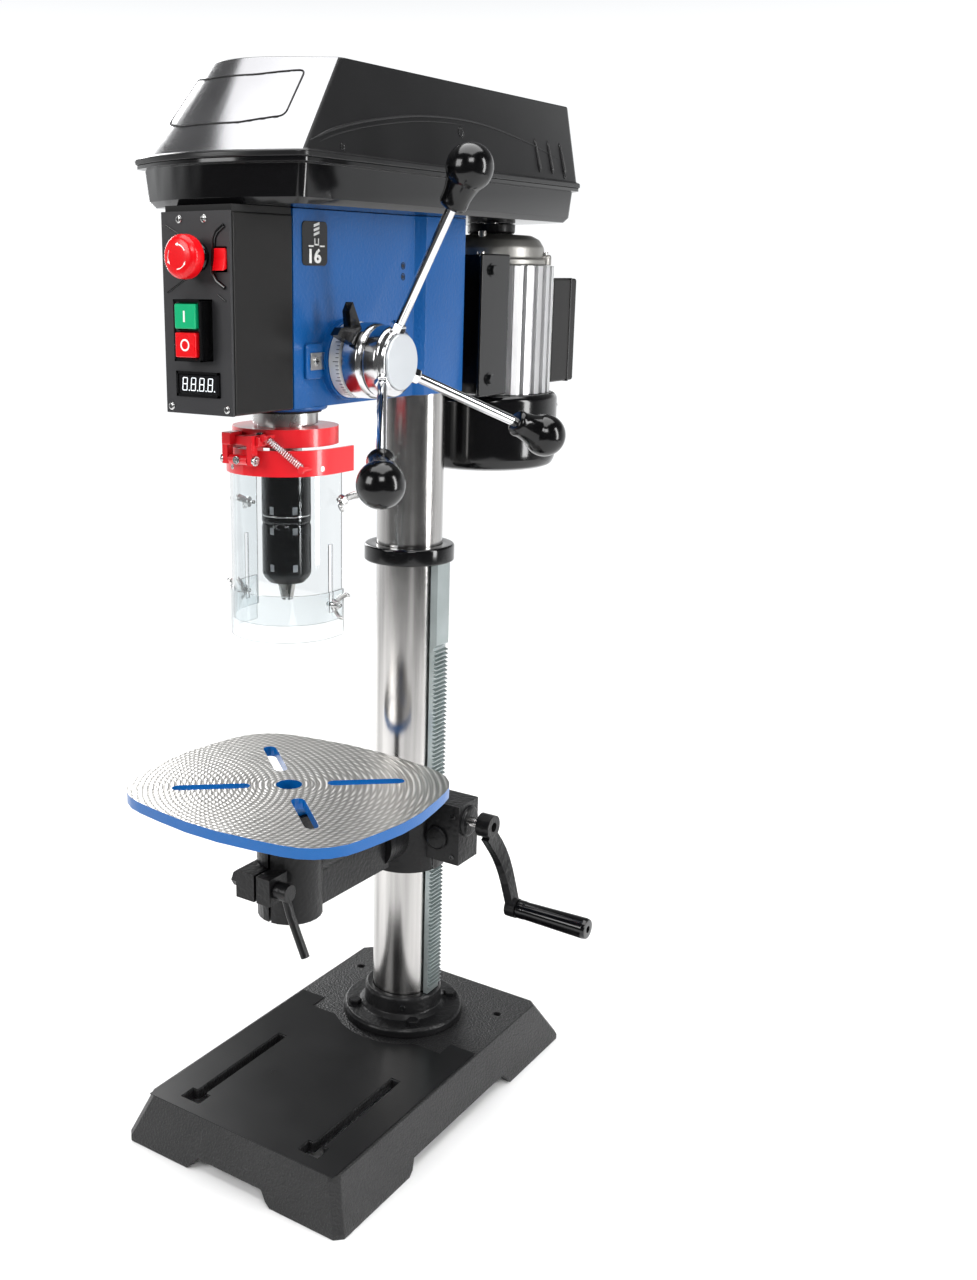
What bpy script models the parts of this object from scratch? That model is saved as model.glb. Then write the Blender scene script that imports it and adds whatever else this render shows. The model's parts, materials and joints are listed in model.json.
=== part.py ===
"""Bench drill press: base, column, rack-and-worm table, geared quill head, guard, belt case and motor.

Everything is laid out about the column: its axis is x = y = 0, X runs to the operator's right,
-Y towards the operator, and the floor is z = 0. The empty that carries all pieces is moved at
the end so that the middle of the whole machine stands over the origin.
"""
import math

import bpy
import bmesh
from mathutils import Matrix, Vector

MM = 0.001
GAP = 0.3 * MM          # between pieces that touch or are pressed together
RUN = 0.4 * MM          # radial clearance of what turns or slides
SKIN = 2.5 * MM         # wall of plastic and sheet-metal covers
OVER = 1 * MM           # how far a cutter runs past a face
TAU = math.tau

# base
BASE_HALF_X = 140 * MM
BASE_FRONT = -318 * MM
BASE_REAR = 132 * MM
BASE_INSET_SIDE = 18 * MM
BASE_INSET_REAR = 29 * MM
BASE_CORNER = 8 * MM
BASE_H = 52.6 * MM
BASE_LIP = 6 * MM
BASE_WALL = 10 * MM
BASE_PLATE = 12 * MM
ARCH_H = 14 * MM
ARCH_HALF_X = 55 * MM
ARCH_SIDE_HALF = 105 * MM
T_SLOT_X = 77 * MM
T_SLOT_W = 11 * MM
T_SLOT_REAR = -130 * MM
T_SLOT_FRONT = -285 * MM
T_HEAD_W = 24 * MM
T_HEAD_L = 18 * MM
BOLT_HOLE_R = 4.5 * MM
BOLT_HOLE_X = 97 * MM
BOLT_HOLE_Y = 53 * MM

# column and its fittings
COLUMN_R = 35 * MM
COLUMN_WALL = 3.5 * MM
COLUMN_TOP = 925 * MM
FLANGE_R = 69 * MM
FLANGE_T = 11 * MM
COLLAR_R = 44 * MM
COLLAR_TOP = 89 * MM
FLANGE_BOLT_CIRCLE = 56.5 * MM
BOLT_HEAD_R = 7.5 * MM
BOLT_HEAD_H = 6 * MM
RACK_TOP = 594 * MM
RACK_TEETH_TOP = 498 * MM
RACK_HALF_W = 12 * MM
RACK_TIP_X = 44 * MM
RING_R = 46.5 * MM
RING_H = 18 * MM

# gears: one module for the table rack, its gear, its worm, the quill rack and the feed pinion
MODULE = 1.5 * MM
PITCH = math.pi * MODULE
TOOTH_SLACK = 0.22 * MM
GEAR_TEETH = 16
GEAR_Z = 289 * MM
GEAR_W = 18 * MM
WORM_PITCH_R = 7.5 * MM
PINION_TEETH = 18
PINION_W = 22 * MM

# table and its arm
SPINDLE_Y = -211 * MM
SLEEVE_R = 46 * MM
SLEEVE_LOW = 245 * MM
SLEEVE_HIGH = 330 * MM
GEARBOX_X = 82 * MM
GEARBOX_HALF_Y = 20 * MM
GEARBOX_LOW = 262 * MM
TILT_Z = 288 * MM
TILT_R = 30 * MM
TILT_FACE = -62 * MM
ARM_BOSS_R = 33 * MM
ARM_BOSS_LOW = 262 * MM
ARM_HALF_W = 22 * MM
POST_R = 20 * MM
TABLE_TOP = 398 * MM
TABLE_T = 11 * MM
TABLE_HALF_X = 146 * MM
TABLE_HALF_Y = 131 * MM
TABLE_BULGE = 9 * MM
TABLE_CORNER = 60 * MM
TABLE_BORE_R = 13 * MM
SLOT_W = 13.5 * MM
SLOT_INNER = 38 * MM
SLOT_OUTER = 115 * MM
SLOT_ANGLE = math.radians(41)
CRANK_R = 97 * MM
CRANK_ANGLE = math.radians(-80)
CRANK_HUB_X = 98 * MM
CRANK_OUT = 26 * MM
GRIP_L = 84 * MM
GRIP_R = 11.5 * MM
CLAMP_Y = -254 * MM
CLAMP_Z = 306 * MM

# head
HEAD_HALF_X = 37 * MM
HEAD_HALF_REAR = 45 * MM
HEAD_FRONT = -245 * MM
HEAD_STEP = -56 * MM
HEAD_REAR = 52 * MM
HEAD_LOW = 768 * MM
HEAD_HIGH = 937 * MM
QUILL_R = 30 * MM
QUILL_LOW = 752 * MM
QUILL_TRAVEL = 80 * MM
QUILL_BOSS_R = 34 * MM
QUILL_BOSS_LOW = 765 * MM
SPINDLE_R = 8.5 * MM
FEED_Z = 808 * MM
QUILL_HIGH = FEED_Z + QUILL_TRAVEL + 17 * MM
FEED_SHAFT_R = 8 * MM
FEED_BOSS_R = 36 * MM
FEED_BOSS_X = 44 * MM
SCALE_R = 34 * MM
RING_X = 78 * MM
HUB_X = 99 * MM
HUB_R = 27 * MM
LEVER_L = 184 * MM
LEVER_TILT = math.radians(29.5)
LEVER_ANGLE = math.radians(93)
LEVER_R = 4.6 * MM
KNOB_R = 20 * MM
KNOB_L = 56 * MM
LEVERS = 3
LEVER_X = 80 * MM

# control box
BOX_FRONT = -328 * MM
BOX_LOW = 768 * MM
BOX_HIGH = 932 * MM
PANEL_T = 3 * MM
ESTOP_X = 3 * MM
ESTOP_Z = 896 * MM
ESTOP_R = 18 * MM
ESTOP_STEM_R = 9 * MM
SWITCH_X = 2 * MM
SWITCH_Z = 837.5 * MM
SWITCH_HALF_X = 15 * MM
SWITCH_HALF_Z = 25 * MM
BUTTON_HALF_X = 11 * MM
BUTTON_HALF_Z = 10 * MM
ROCKER_X = 27.5 * MM
ROCKER_Z = 894 * MM
ROCKER_HALF_X = 6 * MM
ROCKER_HALF_Z = 9.5 * MM
DISPLAY_Z = 793 * MM
DISPLAY_HALF_X = 21.5 * MM
DISPLAY_HALF_Z = 8 * MM

# chuck
CHUCK_TOP = 707 * MM
CHUCK_R = 23 * MM
CHUCK_LOW = 603 * MM
SLEEVE_SPLIT = 660 * MM
JAW_TIP = 586 * MM
NOSE_R = 10 * MM
JAW_LEAN = math.radians(6)
JAWS = 3

# guard
CLAMP_RING_R = 49 * MM
CLAMP_RING_LOW = 734 * MM
CLAMP_RING_HIGH = 750 * MM
CARRIER_R = 55 * MM
CARRIER_T = 3 * MM
CARRIER_LOW = 709 * MM
CARRIER_HIGH = 732 * MM
CARRIER_REAR = -180 * MM
GUARD_HINGE_Y = -273 * MM
GUARD_HINGE_Z = 724 * MM
GUARD_HINGE_X = -3 * MM
SHIELD_LOW = 572 * MM
SHIELD_T = 2 * MM
SKIRT_LOW = 556 * MM
SKIRT_HIGH = 600 * MM
SKIRT_TRAVEL = 50 * MM

# belt case and drive
CASE_HALF_X = 85 * MM
CASE_FRONT = -320 * MM
CASE_REAR = 200 * MM
CASE_LOW = HEAD_HIGH + GAP
CASE_HIGH = 972 * MM
CASE_BULGE = 22 * MM
CASE_REAR_BULGE = 20 * MM
CASE_CORNER = 12 * MM
CASE_LIP = 8 * MM
LID_TOP = 1054 * MM
LID_TOP_HALF_X = 76 * MM
LID_TOP_FRONT = -272 * MM
LID_TOP_REAR = 198 * MM
LID_TOP_BULGE = 36 * MM
LID_TOP_REAR_BULGE = 14 * MM
BULGE_STEPS = 8
PULLEY_LOW = 950 * MM
PULLEY_STEP = 18 * MM
PULLEY_STEPS = 3
SPINDLE_PULLEY_R = 60 * MM
MOTOR_PULLEY_R = 18 * MM
PULLEY_CHANGE = 8 * MM
BELT_STEP = 1
GROOVE = 6 * MM

# motor
MOTOR_Y = 155 * MM
MOTOR_R = 70 * MM
MOTOR_LOW = 758 * MM
MOTOR_HIGH = 893 * MM
FIN_H = 4 * MM
FINS = 28
BELL_HIGH = 925 * MM
BELL_R = 62 * MM
BOSS_HIGH = 936 * MM
SHAFT_R = 8 * MM
FAN_LOW = 676 * MM
FAN_R = 79 * MM
BRACKET_X = 56 * MM
BRACKET_FRONT = 42 * MM
BRACKET_REAR = 100 * MM
BRACKET_T = 4 * MM
BRACKET_LOW = 760 * MM
BRACKET_HIGH = 904 * MM
BAR_R = 8 * MM
TERMINAL_HALF_X = 40 * MM
TERMINAL_LOW = 764 * MM
TERMINAL_HIGH = 880 * MM
TERMINAL_REAR = 289 * MM

FINISHES = {
    "cast_black": ((0.018, 0.018, 0.019), 0.55, 0.3),
    "steel": ((0.62, 0.61, 0.60), 0.25, 1.0),
    "dark_steel": ((0.06, 0.06, 0.065), 0.35, 0.9),
    "zinc": ((0.70, 0.71, 0.72), 0.35, 1.0),
    "blue_paint": ((0.010, 0.115, 0.42), 0.4, 0.1),
    "black_plastic": ((0.022, 0.022, 0.024), 0.4, 0.0),
    "panel": ((0.045, 0.045, 0.05), 0.5, 0.0),
    "gloss_black": ((0.012, 0.012, 0.013), 0.12, 0.0),
    "red_plastic": ((0.75, 0.012, 0.018), 0.35, 0.0),
    "green_plastic": ((0.01, 0.38, 0.16), 0.3, 0.0),
    "clear": ((0.92, 0.94, 0.95), 0.08, 0.0),
    "aluminium": ((0.74, 0.74, 0.75), 0.4, 1.0),
    "chrome": ((0.80, 0.80, 0.81), 0.1, 1.0),
    "rubber": ((0.015, 0.015, 0.015), 0.8, 0.0),
    "display": ((0.01, 0.01, 0.012), 0.15, 0.0),
}


# ---- shapes: each returns (vertices, faces) ---------------------------------------------

def place(u, v, w, axis):
    """A point whose third coordinate w runs along the axis."""
    return {"X": (w, u, v), "Y": (u, w, v), "Z": (u, v, w)}[axis]


def turned(profile, steps=24, axis="Z", at=(0, 0, 0), closed=False):
    """A profile of (radius, height) turned about an axis; a closed profile makes a ring."""
    vertices = []
    rings = []
    for radius, height in profile:
        count = 1 if radius == 0 else steps
        ring = []
        for k in range(count):
            a = TAU * k / steps
            ring.append(len(vertices))
            vertices.append(place(radius * math.cos(a), radius * math.sin(a), height, axis))
        rings.append(ring)
    faces = []
    pairs = list(zip(rings, rings[1:]))
    if closed:
        pairs.append((rings[-1], rings[0]))
    elif len(rings[0]) > 1:
        faces.append(rings[0][::-1])
    for low, high in pairs:
        for k in range(steps):
            n = (k + 1) % steps
            if len(low) == len(high) == 1:
                continue
            if len(low) == 1:
                faces.append((low[0], high[k], high[n]))
            elif len(high) == 1:
                faces.append((low[k], high[0], low[n]))
            else:
                faces.append((low[k], low[n], high[n], high[k]))
    if not closed and len(rings[-1]) > 1:
        faces.append(rings[-1])
    return moved((vertices, faces), at)


def rod(radius, low, high, steps=16, axis="Z", at=(0, 0, 0)):
    """A cylinder along an axis, from low to high."""
    return turned([(radius, low), (radius, high)], steps, axis, at)


def pipe(outer, inner, low, high, steps=24, axis="Z", at=(0, 0, 0)):
    """A cylinder with a bore through it."""
    profile = [(outer, low), (outer, high), (inner, high), (inner, low)]
    return turned(profile, steps, axis, at, closed=True)


def block(low, high):
    """A box between two opposite corners."""
    return prism([(low[0], low[1]), (high[0], low[1]), (high[0], high[1]), (low[0], high[1])],
                 low[2], high[2])


def prism(outline, low, high, axis="Z"):
    """An outline in the plane across the axis, extruded from low to high."""
    return skinned([[place(u, v, w, axis) for u, v in outline] for w in (low, high)])


def skinned(rings, closed=False):
    """Rings with equally many points, joined by quads; open runs get end caps."""
    count = len(rings[0])
    vertices = [point for ring in rings for point in ring]
    faces = []
    for i in range(len(rings) if closed else len(rings) - 1):
        low = i * count
        high = (i + 1) % len(rings) * count
        for k in range(count):
            n = (k + 1) % count
            faces.append((low + k, low + n, high + n, high + k))
    if not closed:
        faces.append(tuple(range(count))[::-1])
        faces.append(tuple(range(len(vertices) - count, len(vertices))))
    return vertices, faces


def moved(shape, offset):
    """The shape carried along by an offset."""
    return [tuple(a + b for a, b in zip(v, offset)) for v in shape[0]], shape[1]


def turned_by(shape, angle, axis, about=(0, 0, 0)):
    """The shape turned by an angle about an axis through a point."""
    turn = Matrix.Rotation(angle, 3, axis)
    centre = Vector(about)
    return [tuple(turn @ (Vector(v) - centre) + centre) for v in shape[0]], shape[1]


def swept(path, half_u, half_v, side, count=4):
    """A tube along a path; side is a fixed direction that the section's u keeps to."""
    rings = []
    side = Vector(side).normalized()
    for i, point in enumerate(path):
        a = Vector(path[max(i - 1, 0)])
        b = Vector(path[min(i + 1, len(path) - 1)])
        ahead = (b - a).normalized()
        u = (side - ahead * side.dot(ahead)).normalized()
        v = ahead.cross(u)
        ring = []
        for k in range(count):
            t = TAU * (k + 0.5) / count
            stretch = math.sqrt(2) if count == 4 else 1
            offset = u * half_u * math.cos(t) + v * half_v * math.sin(t)
            ring.append(tuple(Vector(point) + stretch * offset))
        rings.append(ring)
    return skinned(rings)


def arc(cx, cy, radius, start, end, steps):
    """Points on an arc, its ends included; angles in degrees."""
    span = [math.radians(start + (end - start) * k / steps) for k in range(steps + 1)]
    return [(cx + radius * math.cos(a), cy + radius * math.sin(a)) for a in span]


def chamfered(half_x, front, rear, cut):
    """A rectangle with its four corners cut off."""
    return [(-half_x + cut, front), (half_x - cut, front), (half_x, front + cut), (half_x, rear - cut),
            (half_x - cut, rear), (-half_x + cut, rear), (-half_x, rear - cut), (-half_x, front + cut)]


# ---- objects ----------------------------------------------------------------------------

def clear_scene():
    """Takes every object out of the scene."""
    for item in list(bpy.data.objects):
        bpy.data.objects.remove(item, do_unlink=True)


def finish_named(name):
    """The material of that name, made at its first use."""
    found = bpy.data.materials.get(name)
    if found:
        return found
    colour, roughness, metallic = FINISHES[name]
    made = bpy.data.materials.new(name)
    made.use_nodes = True
    shader = made.node_tree.nodes["Principled BSDF"]
    shader.inputs["Base Color"].default_value = (*colour, 1.0)
    shader.inputs["Roughness"].default_value = roughness
    shader.inputs["Metallic"].default_value = metallic
    made.diffuse_color = (*colour, 1.0)
    return made


def mesh_of(name, shape, origin):
    """A mesh whose points are measured from the origin given."""
    data = bpy.data.meshes.new(name)
    builder = bmesh.new()
    points = [builder.verts.new(Vector(v) - Vector(origin)) for v in shape[0]]
    for face in shape[1]:
        builder.faces.new([points[i] for i in face])
    bmesh.ops.recalc_face_normals(builder, faces=builder.faces)
    builder.to_mesh(data)
    builder.free()
    return data


def add_object(name, shape, origin):
    """An object with its mesh, hung from the column axis."""
    made = bpy.data.objects.new(name, mesh_of(name, shape, origin))
    bpy.context.collection.objects.link(made)
    made.parent = bpy.data.objects["column_axis"]
    made.location = origin
    return made


def node(name, finish, shape, origin=(0, 0, 0), join=(), cut=()):
    """One piece: its first shape, then shapes joined to it, then shapes cut out of it."""
    made = add_object(name, shape, origin)
    made.data.materials.append(finish_named(finish))
    for operation, shapes in (("UNION", join), ("DIFFERENCE", cut)):
        for number, extra in enumerate(shapes):
            tool = add_object(f"{name}_{operation.lower()}_{number}", extra, origin)
            tool.hide_render = True
            tool.display_type = "WIRE"
            boolean = made.modifiers.new(tool.name, "BOOLEAN")
            boolean.operation = operation
            boolean.object = tool
            boolean.solver = "EXACT"
    made.data.shade_smooth()
    made.data.set_sharp_from_angle(angle=math.radians(35))
    return made


# ---- teeth ------------------------------------------------------------------------------

def gear_outline(teeth, turn=0.0):
    """A spur gear's outline about its centre: straight-sided teeth thinned by the slack."""
    pitch_r = teeth * MODULE / 2
    outline = []
    for k in range(teeth):
        middle = turn + TAU * k / teeth
        for radius, half in ((pitch_r - 1.2 * MODULE, 0.36), (pitch_r - 0.35 * MODULE, 0.275),
                             (pitch_r + 0.35 * MODULE, 0.185), (pitch_r + 0.9 * MODULE, 0.105)):
            reach = half * PITCH / pitch_r - TOOTH_SLACK / pitch_r
            outline.append((radius, middle - reach))
        for radius, half in ((pitch_r + 0.9 * MODULE, 0.105), (pitch_r + 0.35 * MODULE, 0.185),
                             (pitch_r - 0.35 * MODULE, 0.275), (pitch_r - 1.2 * MODULE, 0.36)):
            reach = half * PITCH / pitch_r - TOOTH_SLACK / pitch_r
            outline.append((radius, middle + reach))
    return [(r * math.cos(a), r * math.sin(a)) for r, a in outline]


def rack_teeth(tip, low, high, phase):
    """Points (depth, z) of straight teeth from low to high; a gap's middle lies at z = phase."""
    root = tip - 2.25 * MODULE
    half_tip = 0.25 * PITCH - MODULE * math.tan(math.radians(20)) - TOOTH_SLACK / 2
    half_root = 0.25 * PITCH + 1.25 * MODULE * math.tan(math.radians(20)) - TOOTH_SLACK / 2
    first = math.ceil((low + half_root - phase) / PITCH - 0.5)
    points = []
    middle = phase + (first + 0.5) * PITCH
    while middle + half_root < high:
        points += [(root, middle - half_root), (tip, middle - half_tip),
                   (tip, middle + half_tip), (root, middle + half_root)]
        middle += PITCH
    return points


# ---- base and column --------------------------------------------------------------------

def make_base():
    """The cast foot, hollow below, with two T-slots and two bench bolt holes."""
    def layer(inset_side, inset_rear, z):
        outline = chamfered(BASE_HALF_X - inset_side, BASE_FRONT + inset_side,
                            BASE_REAR - inset_rear, BASE_CORNER)
        return [(x, y, z) for x, y in outline]

    body = skinned([layer(0, 0, 0), layer(0, 0, BASE_LIP),
                    layer(BASE_INSET_SIDE, BASE_INSET_REAR, BASE_H)])
    hollow = skinned([layer(BASE_WALL, BASE_WALL, -OVER), layer(BASE_WALL, BASE_WALL, BASE_LIP),
                      layer(BASE_INSET_SIDE + BASE_WALL * 0.6, BASE_INSET_REAR + BASE_WALL * 0.6,
                            BASE_H - BASE_PLATE)])
    middle_y = (BASE_FRONT + BASE_REAR) / 2

    def arch(half):
        return [(-half, -OVER), (half, -OVER), (half - ARCH_H, ARCH_H), (-half + ARCH_H, ARCH_H)]

    front_arch = prism(arch(ARCH_HALF_X), BASE_FRONT - OVER, BASE_REAR + OVER, "Y")
    side_arch = moved(prism(arch(ARCH_SIDE_HALF), -BASE_HALF_X - OVER, BASE_HALF_X + OVER, "X"),
                      (0, middle_y, 0))
    cuts = [hollow, front_arch, side_arch]
    low = BASE_H - BASE_PLATE - OVER
    for side in (-1, 1):
        w = T_SLOT_W / 2
        h = T_HEAD_W / 2
        slot = [(-w, T_SLOT_REAR), (-w, T_SLOT_FRONT + T_HEAD_L), (-h, T_SLOT_FRONT + T_HEAD_L),
                (-h, T_SLOT_FRONT), (h, T_SLOT_FRONT), (h, T_SLOT_FRONT + T_HEAD_L),
                (w, T_SLOT_FRONT + T_HEAD_L), (w, T_SLOT_REAR)]
        cuts.append(moved(prism(slot, low, BASE_H + OVER), (side * T_SLOT_X, 0, 0)))
        cuts.append(rod(BOLT_HOLE_R, low, BASE_H + OVER, 16, at=(side * BOLT_HOLE_X, BOLT_HOLE_Y, 0)))
    node("base", "cast_black", body, cut=cuts)


def make_column():
    """The tube, its bolted flange, the rack and the ring that traps the rack."""
    foot = BASE_H + GAP
    flange = turned([(FLANGE_R, foot), (FLANGE_R, foot + FLANGE_T - 2 * MM),
                     (FLANGE_R - 2 * MM, foot + FLANGE_T),
                     (COLLAR_R + 3 * MM, foot + FLANGE_T + 1 * MM), (COLLAR_R, foot + FLANGE_T + 4 * MM),
                     (COLLAR_R, COLLAR_TOP - 2 * MM), (COLLAR_R - 2 * MM, COLLAR_TOP),
                     (COLUMN_R + GAP, COLLAR_TOP), (COLUMN_R + GAP, foot)], 28, closed=True)
    face = foot + FLANGE_T
    bolts = []
    for k in range(4):
        a = math.radians(45 + 90 * k)
        at = (FLANGE_BOLT_CIRCLE * math.cos(a), FLANGE_BOLT_CIRCLE * math.sin(a), 0)
        bolts.append(rod(BOLT_HEAD_R, face - 3 * MM, face + BOLT_HEAD_H, 6, at=at))
    node("column_flange", "cast_black", flange, join=bolts)
    tube = pipe(COLUMN_R, COLUMN_R - COLUMN_WALL, foot, COLUMN_TOP, 36)
    node("column", "steel", tube)
    low = COLLAR_TOP + GAP
    back = COLUMN_R + GAP
    teeth = rack_teeth(RACK_TIP_X, low + 4 * MM, RACK_TEETH_TOP, GEAR_Z)
    outline = [(back, low), (RACK_TIP_X - 2.25 * MODULE, low)] + teeth + [
        (RACK_TIP_X - 2.25 * MODULE, RACK_TEETH_TOP + 1 * MM), (RACK_TIP_X, RACK_TEETH_TOP + 4 * MM),
        (RACK_TIP_X, RACK_TOP), (back, RACK_TOP)]
    node("rack", "zinc", prism([(x, z) for x, z in outline], -RACK_HALF_W, RACK_HALF_W, "Y"))
    ring_low = RACK_TOP - 4 * MM
    recess = math.hypot(RACK_TIP_X, RACK_HALF_W) + RUN
    ring = turned([(RING_R + 1.5 * MM, ring_low), (RING_R + 1.5 * MM, ring_low + RING_H - 1.5 * MM),
                   (RING_R, ring_low + RING_H), (COLUMN_R + GAP, ring_low + RING_H),
                   (COLUMN_R + GAP, RACK_TOP + GAP), (recess, RACK_TOP + GAP),
                   (recess, ring_low)], 36, closed=True)
    node("rack_ring", "cast_black", ring)


# ---- table ------------------------------------------------------------------------------

def make_support():
    """The sleeve that slides on the column, with its worm, gear, crank and lock."""
    sleeve = pipe(SLEEVE_R, COLUMN_R + RUN, SLEEVE_LOW, SLEEVE_HIGH, 36)
    worm_z = GEAR_Z + GEAR_TEETH * MODULE / 2 + WORM_PITCH_R
    gear_x = RACK_TIP_X - MODULE + GEAR_TEETH * MODULE / 2
    gear_tip = (GEAR_TEETH / 2 + 1) * MODULE
    box = block((COLUMN_R + 4 * MM, -GEARBOX_HALF_Y, GEARBOX_LOW),
                (GEARBOX_X, GEARBOX_HALF_Y, SLEEVE_HIGH))
    tilt = rod(TILT_R, TILT_FACE, -SLEEVE_R + 8 * MM, 24, "Y", (0, 0, TILT_Z))
    lock_boss = rod(13 * MM, -SLEEVE_R - 8 * MM, -SLEEVE_R + 5 * MM, 20, "X", (0, 0, TILT_Z))
    channel = block((COLUMN_R - 5 * MM, -RACK_HALF_W - RUN, SLEEVE_LOW - OVER),
                    (RACK_TIP_X + RUN, RACK_HALF_W + RUN, SLEEVE_HIGH + OVER))
    half = GEAR_W / 2 + 2 * RUN
    cavity = rod(gear_tip + 1 * MM, -half, half, 24, "Y", (gear_x, 0, GEAR_Z))
    pin_hole = rod(4 * MM + RUN, -GEARBOX_HALF_Y - OVER, GEARBOX_HALF_Y + OVER, 16, "Y",
                   (gear_x, 0, GEAR_Z))
    worm_hole = rod(WORM_PITCH_R + 2.2 * MM, RACK_TIP_X - 2 * MM, GEARBOX_X + OVER, 20, "X",
                    (0, 0, worm_z))
    bore = rod(COLUMN_R + RUN, SLEEVE_LOW - OVER, SLEEVE_HIGH + OVER, 36)
    lock_hole = rod(4.2 * MM, -SLEEVE_R - 10 * MM, -COLUMN_R + 2 * MM, 12, "X", (0, 0, TILT_Z))
    tilt_hole = rod(6 * MM + RUN, TILT_FACE - OVER, -COLUMN_R - 5 * MM, 16, "Y", (0, 0, TILT_Z))
    node("table_support", "cast_black", sleeve, join=[box, tilt, lock_boss],
         cut=[bore, channel, cavity, pin_hole, worm_hole, lock_hole, tilt_hole])
    gear = prism(gear_outline(GEAR_TEETH, math.pi), -GEAR_W / 2, GEAR_W / 2, "Y")
    pin = rod(4 * MM, -GEARBOX_HALF_Y - 2 * MM, GEARBOX_HALF_Y + 2 * MM, 16, "Y")
    centre = (gear_x, 0, GEAR_Z)
    node("height_gear", "steel", moved(gear, centre), centre, join=[moved(pin, centre)])
    make_crank(gear_x, worm_z)
    lock = rod(3.9 * MM, -SLEEVE_R - 12 * MM, -COLUMN_R - 1 * MM, 12, "X", (0, 0, TILT_Z))
    knob = rod(8 * MM, -SLEEVE_R - 24 * MM, -SLEEVE_R - 9 * MM, 16, "X", (0, 0, TILT_Z))
    x = -SLEEVE_R - 18 * MM
    handle = swept([(x, 0, TILT_Z), (x - 6 * MM, -20 * MM, TILT_Z - 14 * MM),
                    (x - 16 * MM, -44 * MM, TILT_Z - 30 * MM)], 4 * MM, 4 * MM, (1, 0, 0), count=10)
    node("support_lock_lever", "black_plastic", lock, (x, 0, TILT_Z), join=[knob, handle])


def make_crank(gear_x, worm_z):
    """The worm with its shaft, the dished crank arm with its pin, and the grip that turns on it."""
    start = gear_x - 7 * MM
    end = gear_x + 8 * MM
    steps = 12
    rings = []
    count = 26
    for i in range(count + 1):
        x = start + (end - start) * i / count
        ring = []
        for k in range(steps):
            a = TAU * k / steps
            phase = ((x - gear_x) / PITCH - k / steps + 0.75) % 1.0
            away = abs(phase - 0.5) * 2
            rise = min(max((0.46 - away) / 0.3, 0.0), 1.0)
            radius = WORM_PITCH_R - 1.25 * MODULE + 2.0 * MODULE * rise
            ring.append((x, radius * math.cos(a), worm_z + radius * math.sin(a)))
        rings.append(ring)
    shaft = rod(WORM_PITCH_R - 1.6 * MODULE, RACK_TIP_X + 1.2 * MM, CRANK_HUB_X + 10 * MM, steps, "X",
                (0, 0, worm_z))
    bearing = rod(WORM_PITCH_R + 1.2 * MM, GEARBOX_X - 12 * MM, GEARBOX_X + 3 * MM, 24, "X",
                  (0, 0, worm_z))
    node("worm_shaft", "steel", skinned(rings), (gear_x, 0, worm_z), join=[shaft, bearing])
    grip_y = CRANK_R * math.cos(CRANK_ANGLE)
    grip_z = worm_z + CRANK_R * math.sin(CRANK_ANGLE)
    hub = pipe(13 * MM, WORM_PITCH_R - 1.6 * MODULE + GAP, CRANK_HUB_X, CRANK_HUB_X + 16 * MM, 24, "X",
               (0, 0, worm_z))
    path = []
    for i in range(9):
        s = i / 8
        bow = 16 * MM * math.sin(math.pi * s)
        reach = 10 * MM + (CRANK_R - 10 * MM) * s
        y = reach * math.cos(CRANK_ANGLE) - bow * math.sin(CRANK_ANGLE)
        z = reach * math.sin(CRANK_ANGLE) + bow * math.cos(CRANK_ANGLE)
        path.append((CRANK_HUB_X + 8 * MM + CRANK_OUT * s * s, y, worm_z + z))
    strap = swept(path, 4.5 * MM, 9 * MM, (1, 0, 0))
    grip_x = CRANK_HUB_X + 8 * MM + CRANK_OUT
    eye = rod(11 * MM, grip_x - 6 * MM, grip_x + 6 * MM, 20, "X", (0, grip_y, grip_z))
    pin = rod(3.5 * MM, grip_x, grip_x + GRIP_L - 4 * MM, 12, "X", (0, grip_y, grip_z))
    node("crank_arm", "cast_black", hub, (gear_x, 0, worm_z), join=[strap, eye, pin])
    low = grip_x + 6 * MM + GAP
    grip = turned([(3.5 * MM + RUN, low), (GRIP_R * 0.72, low), (GRIP_R * 0.8, low + GRIP_L * 0.12),
                   (GRIP_R, low + GRIP_L * 0.75), (GRIP_R * 0.85, low + GRIP_L * 0.96),
                   (0, low + GRIP_L), (0, low + GRIP_L - 9 * MM),
                   (3.5 * MM + RUN, low + GRIP_L - 9 * MM)],
                  20, "X", (0, grip_y, grip_z), closed=True)
    node("crank_grip", "gloss_black", grip, (grip_x, grip_y, grip_z))


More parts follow.
